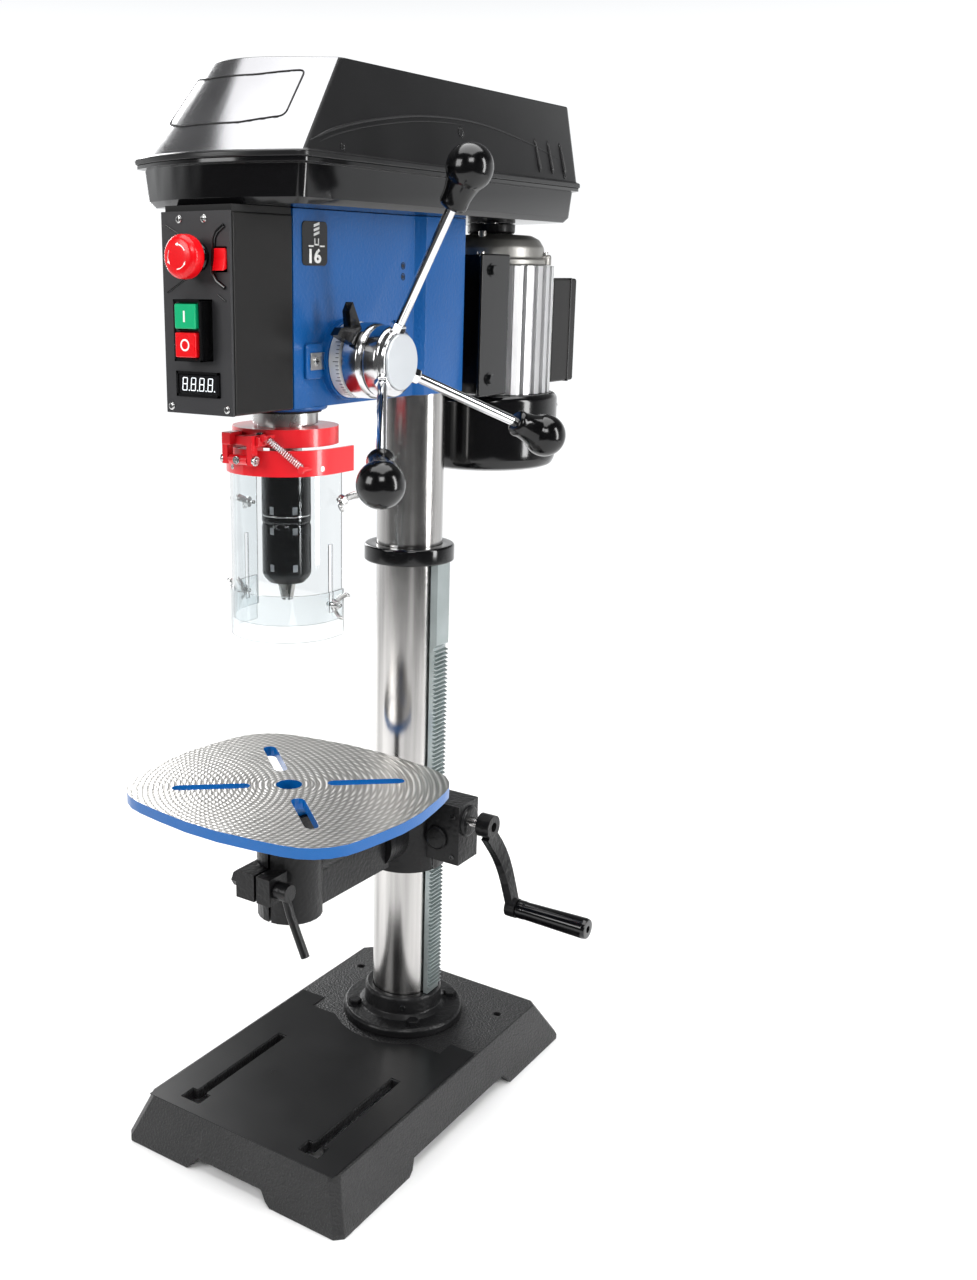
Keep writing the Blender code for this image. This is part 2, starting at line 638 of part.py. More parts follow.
def make_arm():
    """The arm that tilts about the sleeve boss, and its clamp for the table post."""
    rear = TILT_FACE - GAP
    boss_y = SPINDLE_Y
    flange = rod(TILT_R, rear - 10 * MM, rear, 24, "Y", (0, 0, TILT_Z))
    top = TILT_Z + 14 * MM

    def section(y, half, low):
        return [(-half, y, low), (half, y, low), (half, y, top), (-half, y, top)]

    beam = skinned([section(rear - 4 * MM, ARM_HALF_W, TILT_Z - 26 * MM),
                    section(boss_y, ARM_HALF_W, ARM_BOSS_LOW + 4 * MM)])
    boss_top = TABLE_TOP - TABLE_T - 12 * MM
    boss = rod(ARM_BOSS_R, ARM_BOSS_LOW, boss_top, 24, at=(0, boss_y, 0))
    ears = block((-24 * MM, CLAMP_Y - 12 * MM, CLAMP_Z - 14 * MM),
                 (18 * MM, boss_y - 20 * MM, CLAMP_Z + 14 * MM))
    bolt = rod(6 * MM, rear - 4 * MM, -SLEEVE_R + 3 * MM, 16, "Y", (0, 0, TILT_Z))
    bore = rod(POST_R + RUN, ARM_BOSS_LOW - OVER, boss_top + OVER, 24, at=(0, boss_y, 0))
    split = block((-1.5 * MM, CLAMP_Y - 14 * MM, ARM_BOSS_LOW - OVER),
                  (1.5 * MM, boss_y - 10 * MM, boss_top + OVER))
    screw_hole = rod(4.3 * MM, -26 * MM, 20 * MM, 12, "X", (0, CLAMP_Y, CLAMP_Z))
    node("table_arm", "cast_black", beam, (0, rear, TILT_Z), join=[flange, boss, ears, bolt],
         cut=[bore, split, screw_hole])
    screw = rod(4 * MM, -30 * MM, 22 * MM, 12, "X", (0, CLAMP_Y, CLAMP_Z))
    nut = rod(8 * MM, -34 * MM, -24.5 * MM, 6, "X", (0, CLAMP_Y, CLAMP_Z))
    hub = rod(9 * MM, 18 * MM + GAP, 34 * MM, 16, "X", (0, CLAMP_Y, CLAMP_Z))
    handle = swept([(27 * MM, CLAMP_Y, CLAMP_Z), (34 * MM, CLAMP_Y, CLAMP_Z - 22 * MM),
                    (52 * MM, CLAMP_Y, CLAMP_Z - 62 * MM)], 4.5 * MM, 4.5 * MM, (0, 1, 0), count=10)
    node("table_clamp_lever", "black_plastic", screw, (0, CLAMP_Y, CLAMP_Z), join=[nut, hub, handle])


def table_outline():
    """A rectangle whose sides bulge a little and whose corners are round."""
    reach_x = TABLE_HALF_X - TABLE_BULGE - TABLE_CORNER
    reach_y = TABLE_HALF_Y - TABLE_BULGE - TABLE_CORNER
    outline = []
    for quarter in range(4):
        along, across = (reach_x, reach_y) if quarter % 2 == 0 else (reach_y, reach_x)
        side = [(k * along, -across - TABLE_CORNER - TABLE_BULGE * (1 - k * k))
                    for k in (-0.75, -0.25, 0.25, 0.75)]
        corner = arc(along, -across, TABLE_CORNER, -82, -8, 5)
        a = quarter * math.pi / 2
        for x, y in side + corner:
            outline.append((x * math.cos(a) - y * math.sin(a), x * math.sin(a) + y * math.cos(a)))
    return outline


def make_table():
    """The slotted table with its bulging sides and its post."""
    low = TABLE_TOP - TABLE_T
    at = (0, SPINDLE_Y, 0)
    plate = prism(table_outline(), low, TABLE_TOP)
    post = pipe(POST_R, TABLE_BORE_R, ARM_BOSS_LOW + 8 * MM, TABLE_TOP - 1 * MM, 24)
    seat = pipe(POST_R + 8 * MM, TABLE_BORE_R, TABLE_TOP - TABLE_T - 12 * MM + GAP, TABLE_TOP - 2 * MM,
                24)
    cuts = [moved(rod(TABLE_BORE_R, ARM_BOSS_LOW, TABLE_TOP + OVER, 24), at)]
    r = SLOT_W / 2
    slot = arc(SLOT_OUTER - r, 0, r, -90, 90, 5) + arc(SLOT_INNER + r, 0, r, 90, 270, 5)
    for angle in (SLOT_ANGLE, math.pi - SLOT_ANGLE, math.pi + SLOT_ANGLE, -SLOT_ANGLE):
        cuts.append(moved(turned_by(prism(slot, low - OVER, TABLE_TOP + OVER), angle, "Z"), at))
    node("table", "steel", moved(plate, at), at, join=[moved(post, at), moved(seat, at)], cut=cuts)


# ---- head -------------------------------------------------------------------------------

def make_head():
    """The head casting with its quill bore, pinion room and motor bar holes."""
    column_bore = rod(COLUMN_R + GAP, HEAD_LOW - 20 * MM, COLUMN_TOP + GAP, 36)
    rear = arc(0, 0, HEAD_REAR, 28, 152, 10)
    outline = [(-HEAD_HALF_X, HEAD_FRONT), (HEAD_HALF_X, HEAD_FRONT), (HEAD_HALF_X, HEAD_STEP),
               (HEAD_HALF_REAR, HEAD_STEP + 10 * MM)] + rear + [
               (-HEAD_HALF_REAR, HEAD_STEP + 10 * MM), (-HEAD_HALF_X, HEAD_STEP)]
    body = prism(outline, HEAD_LOW, HEAD_HIGH)
    quill_boss = rod(QUILL_BOSS_R, QUILL_BOSS_LOW, HEAD_LOW + 5 * MM, 28, at=(0, SPINDLE_Y, 0))
    feed_y = SPINDLE_Y + QUILL_R - 3.5 * MM + PINION_TEETH * MODULE / 2
    feed_at = (0, feed_y, FEED_Z)
    boss = rod(FEED_BOSS_R, -FEED_BOSS_X, FEED_BOSS_X, 24, "X", feed_at)
    quill_bore = rod(QUILL_R + RUN, QUILL_BOSS_LOW - OVER, QUILL_HIGH + 3 * MM, 28, at=(0, SPINDLE_Y, 0))
    bearing_bore = rod(SPINDLE_R + 7 * MM + RUN, QUILL_HIGH, HEAD_HIGH + OVER, 24, at=(0, SPINDLE_Y, 0))
    shaft_bore = rod(FEED_SHAFT_R + RUN, -FEED_BOSS_X - OVER, FEED_BOSS_X + OVER, 20, "X", feed_at)
    pinion_room = rod((PINION_TEETH / 2 + 2) * MODULE, -PINION_W / 2 - 1 * MM, PINION_W / 2 + 1 * MM, 24,
                      "X", feed_at)
    pocket = block((-HEAD_HALF_X + 9 * MM, feed_y + 25 * MM, HEAD_LOW + 12 * MM),
                   (HEAD_HALF_X - 9 * MM, -COLUMN_R - 10 * MM, HEAD_HIGH + OVER))
    bars = [rod(BAR_R + GAP, COLUMN_R + 5 * MM, HEAD_REAR + 5 * MM, 16, "Y",
                (0, 0, z)) for z in bar_heights()]
    node("head_casting", "blue_paint", body, join=[quill_boss, boss],
         cut=[column_bore, quill_bore, bearing_bore, shaft_bore, pinion_room, pocket] + bars)
    return feed_at


def bar_heights():
    """The two levels of the bars that carry the motor."""
    return (HEAD_LOW + 26 * MM, HEAD_HIGH - 63 * MM)


def make_quill(feed_at):
    """The quill with its rack facing the pinion, and the spindle that turns in it."""
    at = (0, SPINDLE_Y, 0)
    bore = SPINDLE_R + 3 * MM
    sleeve = pipe(QUILL_R, bore, QUILL_LOW, QUILL_HIGH, 28, at=at)
    low_collar = pipe(QUILL_R - 4 * MM, bore, CLAMP_RING_LOW - 3 * MM, QUILL_LOW + 2 * MM, 28, at=at)
    pitch_y = feed_at[1] - PINION_TEETH * MODULE / 2
    tip_y = pitch_y + MODULE
    low = FEED_Z - 16 * MM
    high = QUILL_HIGH + OVER
    root = tip_y - 2.25 * MODULE
    outline = [(root, low)] + rack_teeth(tip_y, low, QUILL_HIGH - 1 * MM, FEED_Z) + [
        (root, high), (SPINDLE_Y + QUILL_R + OVER, high), (SPINDLE_Y + QUILL_R + OVER, low)]
    gap_cut = prism(outline, -PINION_W / 2 - 2 * MM, PINION_W / 2 + 2 * MM, "X")
    node("quill", "steel", sleeve, at, join=[low_collar], cut=[gap_cut])
    taper_low = CHUCK_TOP - 22 * MM
    top = PULLEY_LOW + PULLEY_STEPS * PULLEY_STEP + 8 * MM
    spindle = turned([(6.5 * MM, taper_low), (7.8 * MM, CHUCK_TOP), (7.8 * MM, CHUCK_TOP + 4 * MM),
                      (15 * MM, CHUCK_TOP + 4 * MM), (15 * MM, CLAMP_RING_LOW - 3.4 * MM),
                      (bore - RUN, CLAMP_RING_LOW - 3.4 * MM), (bore - RUN, QUILL_LOW + 14 * MM),
                      (SPINDLE_R, QUILL_LOW + 16 * MM), (SPINDLE_R, QUILL_HIGH - 12 * MM),
                      (bore - RUN, QUILL_HIGH - 10 * MM), (bore - RUN, QUILL_HIGH + 1 * MM),
                      (SPINDLE_R, QUILL_HIGH + 1 * MM), (SPINDLE_R, top)], 24, at=at)
    node("spindle", "steel", spindle, at)


def pulley_profile(radii, bore, low, reach_low):
    """A stepped V pulley, its widest groove first, with a hub that runs down to reach_low."""
    hub = bore + 6 * MM
    profile = [(bore, reach_low), (hub, reach_low), (hub, low)]
    for number, radius in enumerate(radii):
        z = low + number * PULLEY_STEP
        profile += [(radius, z), (radius, z + 2 * MM), (radius - GROOVE, z + 5.5 * MM),
                    (radius - GROOVE, z + PULLEY_STEP - 5.5 * MM), (radius, z + PULLEY_STEP - 2 * MM),
                    (radius, z + PULLEY_STEP - 0.01 * MM)]
    profile.append((bore, low + len(radii) * PULLEY_STEP - 0.01 * MM))
    return profile


def make_drive():
    """The quill with its rack teeth, the spindle, both pulleys and the belt."""
    front_radii = [SPINDLE_PULLEY_R - k * PULLEY_CHANGE for k in range(PULLEY_STEPS)]
    rear_radii = [MOTOR_PULLEY_R + k * PULLEY_CHANGE for k in range(PULLEY_STEPS)]
    spindle = pulley_profile(front_radii, SPINDLE_R + RUN, PULLEY_LOW, QUILL_HIGH + 6 * MM)
    node("spindle_pulley", "aluminium", turned(spindle, 22, at=(0, SPINDLE_Y, 0), closed=True),
         (0, SPINDLE_Y, 0))
    motor = pulley_profile(rear_radii, SHAFT_R + GAP, PULLEY_LOW, PULLEY_LOW - 6 * MM)
    node("motor_pulley", "aluminium", turned(motor, 22, at=(0, MOTOR_Y, 0), closed=True), (0, MOTOR_Y, 0))
    front_r = front_radii[BELT_STEP]
    rear_r = rear_radii[BELT_STEP]
    z = PULLEY_LOW + (BELT_STEP + 0.5) * PULLEY_STEP
    lean = math.degrees(math.asin((rear_r - front_r) / (MOTOR_Y - SPINDLE_Y)))
    steps = 12
    rings = []
    for cx, cy, radius, first, last in ((0, MOTOR_Y, rear_r, -lean, 180 + lean),
                                        (0, SPINDLE_Y, front_r, 180 + lean, 360 - lean)):
        for k in range(steps + 1):
            a = math.radians(first + (last - first) * k / steps)
            ring = []
            for depth, half in ((-4.6 * MM, 3.7 * MM), (0.6 * MM, 6.4 * MM)):
                for side in (-1, 1):
                    r = (radius + depth) / math.cos(math.radians((last - first) / steps / 2))
                    ring.append((cx + r * math.cos(a), cy + r * math.sin(a), z + side * half))
            rings.append([ring[0], ring[1], ring[3], ring[2]])
    node("v_belt", "rubber", skinned(rings, closed=True))


# ---- feed -------------------------------------------------------------------------------

def make_feed(feed_at):
    """The feed shaft with its pinion, scale rings, hub, levers and spring case."""
    left = -FEED_BOSS_X - GAP
    pinion = prism(gear_outline(PINION_TEETH, math.pi), -PINION_W / 2, PINION_W / 2, "X")
    shaft = rod(FEED_SHAFT_R, left - 18 * MM, HUB_X - 8 * MM, 20, "X")
    node("feed_shaft", "steel", moved(pinion, feed_at), feed_at, join=[moved(shaft, feed_at)])
    cap = turned([(FEED_SHAFT_R + RUN, left), (30 * MM, left), (30 * MM, left - 20 * MM),
                  (27 * MM, left - 23 * MM),
                  (0, left - 23 * MM), (0, left - 20 * MM), (FEED_SHAFT_R + RUN, left - 20 * MM)],
                 24, "X", feed_at, closed=True)
    node("return_spring_case", "black_plastic", cap, feed_at)
    x = FEED_BOSS_X + GAP
    ring = turned([(FEED_SHAFT_R + 4 * MM + RUN, x), (SCALE_R, x), (SCALE_R, x + 10 * MM),
                   (SCALE_R - 2 * MM, x + 12 * MM),
                   (SCALE_R - 2 * MM, RING_X - 2 * MM),
                   (SCALE_R - 4 * MM, RING_X), (FEED_SHAFT_R + 4 * MM + RUN, RING_X)],
                  28, "X", feed_at, closed=True)
    a = math.radians(140)
    bolt_x = (x + RING_X) / 2 + 6 * MM
    hole = turned_by(rod(3.2 * MM, FEED_SHAFT_R + 4 * MM, SCALE_R + 4 * MM, 12, "Z", (bolt_x, 0, 0)),
                     a - math.pi / 2, "X")
    node("depth_ring", "dark_steel", ring, feed_at, cut=[moved(hole, feed_at)])
    stem = rod(3 * MM, FEED_SHAFT_R + 7 * MM, SCALE_R + 2 * MM, 12, "Z", (bolt_x, 0, 0))
    wings = prism([(-9 * MM, SCALE_R), (9 * MM, SCALE_R), (18 * MM, SCALE_R + 25 * MM),
                   (9 * MM, SCALE_R + 24 * MM), (0, SCALE_R + 14 * MM),
                   (-9 * MM, SCALE_R + 24 * MM), (-18 * MM, SCALE_R + 25 * MM)], -4 * MM, 4 * MM, "X")
    wings = moved(wings, (bolt_x, 0, 0))
    node("depth_lock_knob", "black_plastic", moved(turned_by(stem, a - math.pi / 2, "X"), feed_at),
         feed_at,
         join=[moved(turned_by(wings, a - math.pi / 2, "X"), feed_at)])
    low = RING_X + GAP
    hub = turned([(FEED_SHAFT_R + GAP, x + 1 * MM), (FEED_SHAFT_R + 4 * MM, x + 1 * MM),
                  (FEED_SHAFT_R + 4 * MM, low),
                  (SCALE_R - 3 * MM, low), (SCALE_R - 3 * MM, low + 5 * MM),
                  (HUB_R + 1 * MM, low + 8 * MM),
                  (HUB_R, HUB_X - 2 * MM), (HUB_R - 2 * MM, HUB_X), (FEED_SHAFT_R + GAP, HUB_X)],
                 28, "X", feed_at, closed=True)
    sockets = []
    for k in range(LEVERS):
        sockets.append(lever_placed(rod(LEVER_R + GAP, 14 * MM, 50 * MM, 12), k, feed_at))
    node("feed_hub", "chrome", hub, feed_at, cut=sockets)
    node("hub_cap", "aluminium", rod(HUB_R - 3 * MM, HUB_X + GAP, HUB_X + 2.5 * MM, 24, "X", feed_at),
         feed_at)
    for k in range(LEVERS):
        bar = rod(LEVER_R, 15 * MM, LEVER_L - 12 * MM, 12)
        node(f"feed_lever_{k + 1}", "chrome", lever_placed(bar, k, feed_at), feed_at)
        node(f"lever_knob_{k + 1}", "gloss_black", lever_placed(knob_shape(), k, feed_at), feed_at)


def knob_shape():
    """A pear: a ball with a waisted neck, bored for the lever."""
    neck = LEVER_L - KNOB_L + 20 * MM
    profile = [(LEVER_R + GAP, neck), (10 * MM, neck), (11 * MM, neck + 4 * MM),
               (9.5 * MM, neck + 10 * MM)]
    for k in range(8):
        a = math.radians(-52 + (90 + 52) * k / 7)
        r = KNOB_R * math.cos(a)
        profile.append((0 if k == 7 else r, LEVER_L + KNOB_R * math.sin(a)))
    return turned(profile + [(0, LEVER_L - 11 * MM), (LEVER_R + GAP, LEVER_L - 11 * MM)], 14, closed=True)


def lever_placed(shape, number, feed_at):
    """A shape drawn along +Z, leaned outwards and turned to its place round the hub."""
    leaned = turned_by(shape, LEVER_TILT, "Y")
    angle = LEVER_ANGLE - TAU * number / LEVERS - math.pi / 2
    return moved(turned_by(leaned, angle, "X"), (LEVER_X, feed_at[1], feed_at[2]))


# ---- controls ---------------------------------------------------------------------------

def panel_block(x, z, half_x, half_z, front, rear):
    """A box on the control box front, given by its centre and half sizes."""
    return block((x - half_x, front, z - half_z), (x + half_x, rear, z + half_z))


def make_controls():
    """The control box with its panel, emergency stop, keys, rocker and display."""
    mid_z = (BOX_LOW + BOX_HIGH) / 2
    half_z = (BOX_HIGH - BOX_LOW) / 2
    panel_rear = BOX_FRONT + PANEL_T
    shell = panel_block(0, mid_z, HEAD_HALF_X, half_z, panel_rear + GAP, HEAD_FRONT - GAP)
    room = panel_block(0, mid_z, HEAD_HALF_X - SKIN, half_z - SKIN, panel_rear - OVER,
                       HEAD_FRONT - GAP - SKIN)
    node("control_box", "panel", shell, cut=[room])
    panel = panel_block(0, mid_z, HEAD_HALF_X, half_z, BOX_FRONT, panel_rear)
    front = BOX_FRONT - OVER
    rear = panel_rear + OVER
    holes = [rod(ESTOP_STEM_R + RUN, front, rear, 20, "Y", (ESTOP_X, 0, ESTOP_Z)),
             panel_block(SWITCH_X, SWITCH_Z, SWITCH_HALF_X - 2 * MM, SWITCH_HALF_Z - 2 * MM, front, rear),
             panel_block(ROCKER_X, ROCKER_Z, ROCKER_HALF_X + RUN, ROCKER_HALF_Z + RUN, front, rear),
             panel_block(0, DISPLAY_Z, DISPLAY_HALF_X, DISPLAY_HALF_Z, front, rear)]
    node("control_panel", "panel", panel, cut=holes)
    head = BOX_FRONT - 26 * MM
    stop = turned([(0, head), (ESTOP_R * 0.75, head), (ESTOP_R, head + 4 * MM), (ESTOP_R, head + 9 * MM),
                   (ESTOP_STEM_R + 3 * MM, head + 16 * MM), (ESTOP_STEM_R, head + 17 * MM),
                   (ESTOP_STEM_R, panel_rear + 12 * MM), (0, panel_rear + 12 * MM)],
                  28, "Y", (ESTOP_X, 0, ESTOP_Z))
    node("estop_button", "red_plastic", stop, (ESTOP_X, BOX_FRONT, ESTOP_Z))
    housing_front = BOX_FRONT - 14 * MM
    housing = panel_block(SWITCH_X, SWITCH_Z, SWITCH_HALF_X, SWITCH_HALF_Z, housing_front,
                          BOX_FRONT - GAP)
    pockets = []
    for number, name in enumerate(("start_button", "stop_button")):
        z = SWITCH_Z + (0.5 - number) * (2 * BUTTON_HALF_Z + 3 * MM)
        pockets.append(panel_block(SWITCH_X, z, BUTTON_HALF_X + RUN, BUTTON_HALF_Z + RUN,
                                   housing_front - OVER, BOX_FRONT - GAP - 3 * MM))
        button = panel_block(SWITCH_X, z, BUTTON_HALF_X, BUTTON_HALF_Z, housing_front - 4 * MM,
                             BOX_FRONT - 8 * MM)
        node(name, ("green_plastic", "red_plastic")[number], button, (SWITCH_X, housing_front, z))
    stub = panel_block(SWITCH_X, SWITCH_Z, SWITCH_HALF_X - 3 * MM, SWITCH_HALF_Z - 3 * MM,
                       BOX_FRONT - 2 * MM, rear + 8 * MM)
    node("switch_housing", "black_plastic", housing, join=[stub], cut=pockets)
    face = BOX_FRONT - 3 * MM
    tip = ROCKER_HALF_Z - 0.6 * MM
    rocker = prism([(face - 1.5 * MM, -tip), (face + 0.8 * MM, 0), (face + 1.2 * MM, tip),
                    (BOX_FRONT + 6 * MM, tip * 0.6), (BOX_FRONT + 6 * MM, -tip * 0.6)],
                   -ROCKER_HALF_X, ROCKER_HALF_X, "X")
    node("rocker_switch", "red_plastic", moved(rocker, (ROCKER_X, 0, ROCKER_Z)),
         (ROCKER_X, BOX_FRONT, ROCKER_Z))
    display = panel_block(0, DISPLAY_Z, DISPLAY_HALF_X - GAP, DISPLAY_HALF_Z - GAP, BOX_FRONT - 1 * MM,
                          panel_rear + 6 * MM)
    node("speed_display", "display", display)


# ---- chuck ------------------------------------------------------------------------------

def jaw_guide(z):
    """The radius at height z of the cone in the chuck body that the jaws slide along."""
    return NOSE_R + (z - CHUCK_LOW - 2 * MM) * math.tan(JAW_LEAN)


def make_chuck():
    """The chuck body, its turning sleeve and three jaws."""
    at = (0, SPINDLE_Y, 0)
    body = turned([(8.3 * MM, CHUCK_TOP), (CHUCK_R - 3 * MM, CHUCK_TOP), (CHUCK_R, CHUCK_TOP - 3 * MM),
                   (CHUCK_R, SLEEVE_SPLIT), (CHUCK_R - 6 * MM, SLEEVE_SPLIT),
                   (CHUCK_R - 6 * MM, CHUCK_LOW + 12 * MM),
                   (CHUCK_R - 8 * MM, CHUCK_LOW + 2 * MM), (NOSE_R, CHUCK_LOW + 2 * MM),
                   (jaw_guide(CHUCK_TOP - 40 * MM), CHUCK_TOP - 40 * MM),
                   (4 * MM, CHUCK_TOP - 40 * MM), (4 * MM, CHUCK_TOP - 26 * MM),
                   (8.3 * MM, CHUCK_TOP - 23 * MM)],
                  32, at=at, closed=True)
    node("chuck_body", "dark_steel", body, at)
    high = SLEEVE_SPLIT - GAP
    inner = CHUCK_R - 6 * MM + RUN
    sleeve = turned([(inner, high), (CHUCK_R, high), (CHUCK_R, CHUCK_LOW + 12 * MM),
                     (CHUCK_R - 5 * MM, CHUCK_LOW + 1 * MM),
                     (inner, CHUCK_LOW + 0.5 * MM)], 24, at=at, closed=True)
    node("chuck_sleeve", "dark_steel", sleeve, at)
    for k in range(JAWS):
        a = TAU * k / JAWS
        low = CHUCK_LOW + 4 * MM
        high = CHUCK_LOW + 34 * MM
        wedge = [(0.9 * MM, JAW_TIP + 18 * MM), (2.5 * MM, JAW_TIP), (5 * MM, JAW_TIP),
                 (jaw_guide(low) - 2 * RUN, low), (jaw_guide(high) - 2 * RUN, high), (0.9 * MM, high)]
        jaw = skinned([[(u, s * min(2.6 * MM, max(u, 0.9 * MM) * 1.4), w) for u, w in wedge]
                    for s in (-1, 1)])
        node(f"chuck_jaw_{k + 1}", "steel", moved(turned_by(jaw, a, "Z"), at), at)


# ---- guard ------------------------------------------------------------------------------

def u_outline(radius, rear):
    """Half a circle in front of the spindle with straight sides running back to rear."""
    front = [(radius * math.cos(math.radians(a)), SPINDLE_Y + radius * math.sin(math.radians(a)))
             for a in range(180, 361, 12)]
    return [(-radius, rear)] + front + [(radius, rear)]


def u_wall(radius, thickness, rear, low, high):
    """A wall of a thickness that follows the U-shaped outline of the guard."""
    outer = u_outline(radius, rear)
    inner = u_outline(radius - thickness, rear)
    return prism(outer + inner[::-1], low, high)


def make_guard():
    """The clamp ring, hinged carrier, clear shield and sliding skirt."""
    at = (0, SPINDLE_Y, 0)
    neck_r = QUILL_R - 4 * MM
    ring = pipe(CLAMP_RING_R, neck_r + GAP, CLAMP_RING_LOW, CLAMP_RING_HIGH, 36, at=at)
    lugs = []
    for x in (GUARD_HINGE_X - 17 * MM, GUARD_HINGE_X + 11 * MM):
        lugs.append(block((x, GUARD_HINGE_Y - 4 * MM, GUARD_HINGE_Z - 4 * MM),
                          (x + 6 * MM, GUARD_HINGE_Y + 4 * MM, CLAMP_RING_HIGH - 5 * MM)))
        lugs.append(block((x, GUARD_HINGE_Y - 4 * MM, CLAMP_RING_LOW + 1 * MM),
                          (x + 6 * MM, SPINDLE_Y - 25 * MM, CLAMP_RING_HIGH - 4 * MM)))
    pin_hole = rod(2.2 * MM, GUARD_HINGE_X - 20 * MM, GUARD_HINGE_X + 20 * MM, 12, "X",
                   (0, GUARD_HINGE_Y, GUARD_HINGE_Z))
    room = rod(neck_r + GAP, CLAMP_RING_LOW - OVER, CLAMP_RING_HIGH + OVER, 28, at=at)
    node("guard_clamp_ring", "red_plastic", ring, at, join=lugs, cut=[pin_hole, room])
    hinge = (GUARD_HINGE_X, GUARD_HINGE_Y, GUARD_HINGE_Z)
    node("guard_hinge_pin", "steel", rod(2 * MM, -20 * MM, 20 * MM, 12, "X", hinge), hinge)
    carrier = u_wall(CARRIER_R, CARRIER_T, CARRIER_REAR, CARRIER_LOW, CARRIER_HIGH)
    knuckle = moved(rod(4.5 * MM, -10.5 * MM, 10.5 * MM, 16, "X"), hinge)
    bridge = block((GUARD_HINGE_X - 10 * MM, GUARD_HINGE_Y - 2 * MM, GUARD_HINGE_Z - 4 * MM),
                   (GUARD_HINGE_X + 10 * MM, SPINDLE_Y - CARRIER_R + 9.5 * MM, GUARD_HINGE_Z + 1 * MM))
    inside = u_wall(CARRIER_R - CARRIER_T - GAP / 2, 8 * MM, CARRIER_REAR, CARRIER_LOW, CARRIER_HIGH)
    knuckle_hole = rod(2 * MM + RUN, -30 * MM, 30 * MM, 12, "X", hinge)
    node("guard_carrier", "red_plastic", carrier, hinge, join=[knuckle, bridge],
         cut=[inside, knuckle_hole])
    shield_r = CARRIER_R - CARRIER_T - GAP
    shield = u_wall(shield_r, SHIELD_T, CARRIER_REAR - 14 * MM, SHIELD_LOW, CARRIER_HIGH - 6 * MM)
    slots = []
    for side in (-1, 1):
        slots.append(block((side * shield_r - 5 * MM, SPINDLE_Y - 2.6 * MM, SHIELD_LOW + 8 * MM),
                           (side * shield_r + 5 * MM, SPINDLE_Y + 2.6 * MM,
                            SKIRT_HIGH - 6 * MM + SKIRT_TRAVEL)))
    node("shield_upper", "clear", shield, hinge, cut=slots)
    skirt_r = shield_r + GAP + SHIELD_T
    skirt = u_wall(skirt_r, SHIELD_T, CARRIER_REAR - 14 * MM, SKIRT_LOW, SKIRT_HIGH)
    screws = []
    for side in (-1, 1):
        screws.append(rod(2 * MM, min(side * (skirt_r - 8 * MM), side * (skirt_r + 9 * MM)),
                          max(side * (skirt_r - 8 * MM), side * (skirt_r + 9 * MM)), 10, "X",
                          (0, SPINDLE_Y, SKIRT_HIGH - 12 * MM)))
    node("shield_lower", "clear", skirt, hinge, join=screws)


# ---- belt case and lid ------------------------------------------------------------------

def case_outline(grow, half_x=CASE_HALF_X, front=CASE_FRONT, rear=CASE_REAR, bulge=CASE_BULGE,
                 rear_bulge=CASE_REAR_BULGE):
    """Straight sides, round corners, and both ends swelling out in an arc; grow moves every side out."""
    x = half_x + grow - CASE_CORNER
    low = front - grow + bulge + CASE_CORNER
    high = rear + grow - rear_bulge - CASE_CORNER
    across = [k / BULGE_STEPS for k in range(1 - BULGE_STEPS, BULGE_STEPS)]
    points = arc(x, low, CASE_CORNER, -65, 0, 4) + arc(x, high, CASE_CORNER, 0, 60, 4)
    points += [(-t * x, high + CASE_CORNER + rear_bulge * (1 - t * t)) for t in across]
    points += arc(-x, high, CASE_CORNER, 120, 180, 4) + arc(-x, low, CASE_CORNER, 180, 245, 4)
    points += [(t * x, low - CASE_CORNER - bulge * (1 - t * t)) for t in across]
    return points


def make_case():
    """The belt tray and its hinged lid."""
    walls = skinned([[(x, y, z) for x, y in case_outline(g)] for g, z in
                     ((-4 * MM, CASE_LOW), (0, CASE_LOW + 5 * MM),
                      (CASE_LIP - 6 * MM, CASE_HIGH - 4 * MM),
                      (CASE_LIP - 1 * MM, CASE_HIGH - 3 * MM), (CASE_LIP - 1 * MM, CASE_HIGH))])
    room = skinned([[(x, y, z) for x, y in case_outline(g - SKIN)] for g, z in
                    ((-1 * MM, CASE_LOW + SKIN), (0, CASE_LOW + 5 * MM),
                     (CASE_LIP - 6 * MM, CASE_HIGH - 4 * MM),
                     (CASE_LIP - 6 * MM, CASE_HIGH + OVER))])
    spindle_hole = rod(SPINDLE_R + 12 * MM, CASE_LOW - OVER, CASE_LOW + 6 * MM, 28, at=(0, SPINDLE_Y, 0))
    motor_hole = rod(24 * MM, CASE_LOW - OVER, CASE_LOW + 6 * MM, 28, at=(0, MOTOR_Y, 0))
    node("belt_tray", "gloss_black", walls, cut=[room, spindle_hole, motor_hole])
    hinge = lid_hinge()
    tiers = ((CASE_LIP, CASE_HIGH + GAP, 0.0), (CASE_LIP, CASE_HIGH + 5 * MM, 0.0),
             (CASE_LIP - 3 * MM, CASE_HIGH + 6 * MM, 0.0), (None, LID_TOP, 1.0))

    def lid_ring(grow, z, top, wall):
        if top:
            outline = case_outline(-wall, LID_TOP_HALF_X, LID_TOP_FRONT, LID_TOP_REAR, LID_TOP_BULGE,
                                   LID_TOP_REAR_BULGE)
        else:
            outline = case_outline(grow - wall)
        return [(x, y, z) for x, y in outline]

    outer = skinned([lid_ring(g, z, t, 0) for g, z, t in tiers])
    inner = skinned([lid_ring(g, z, t, SKIN) for g, z, t in
                     ((CASE_LIP, CASE_HIGH - OVER, 0.0), (CASE_LIP - 3 * MM, CASE_HIGH + 6 * MM, 0.0),
                      (None, LID_TOP - SKIN, 1.0))])
    node("lid", "black_plastic", outer, hinge, cut=[inner])


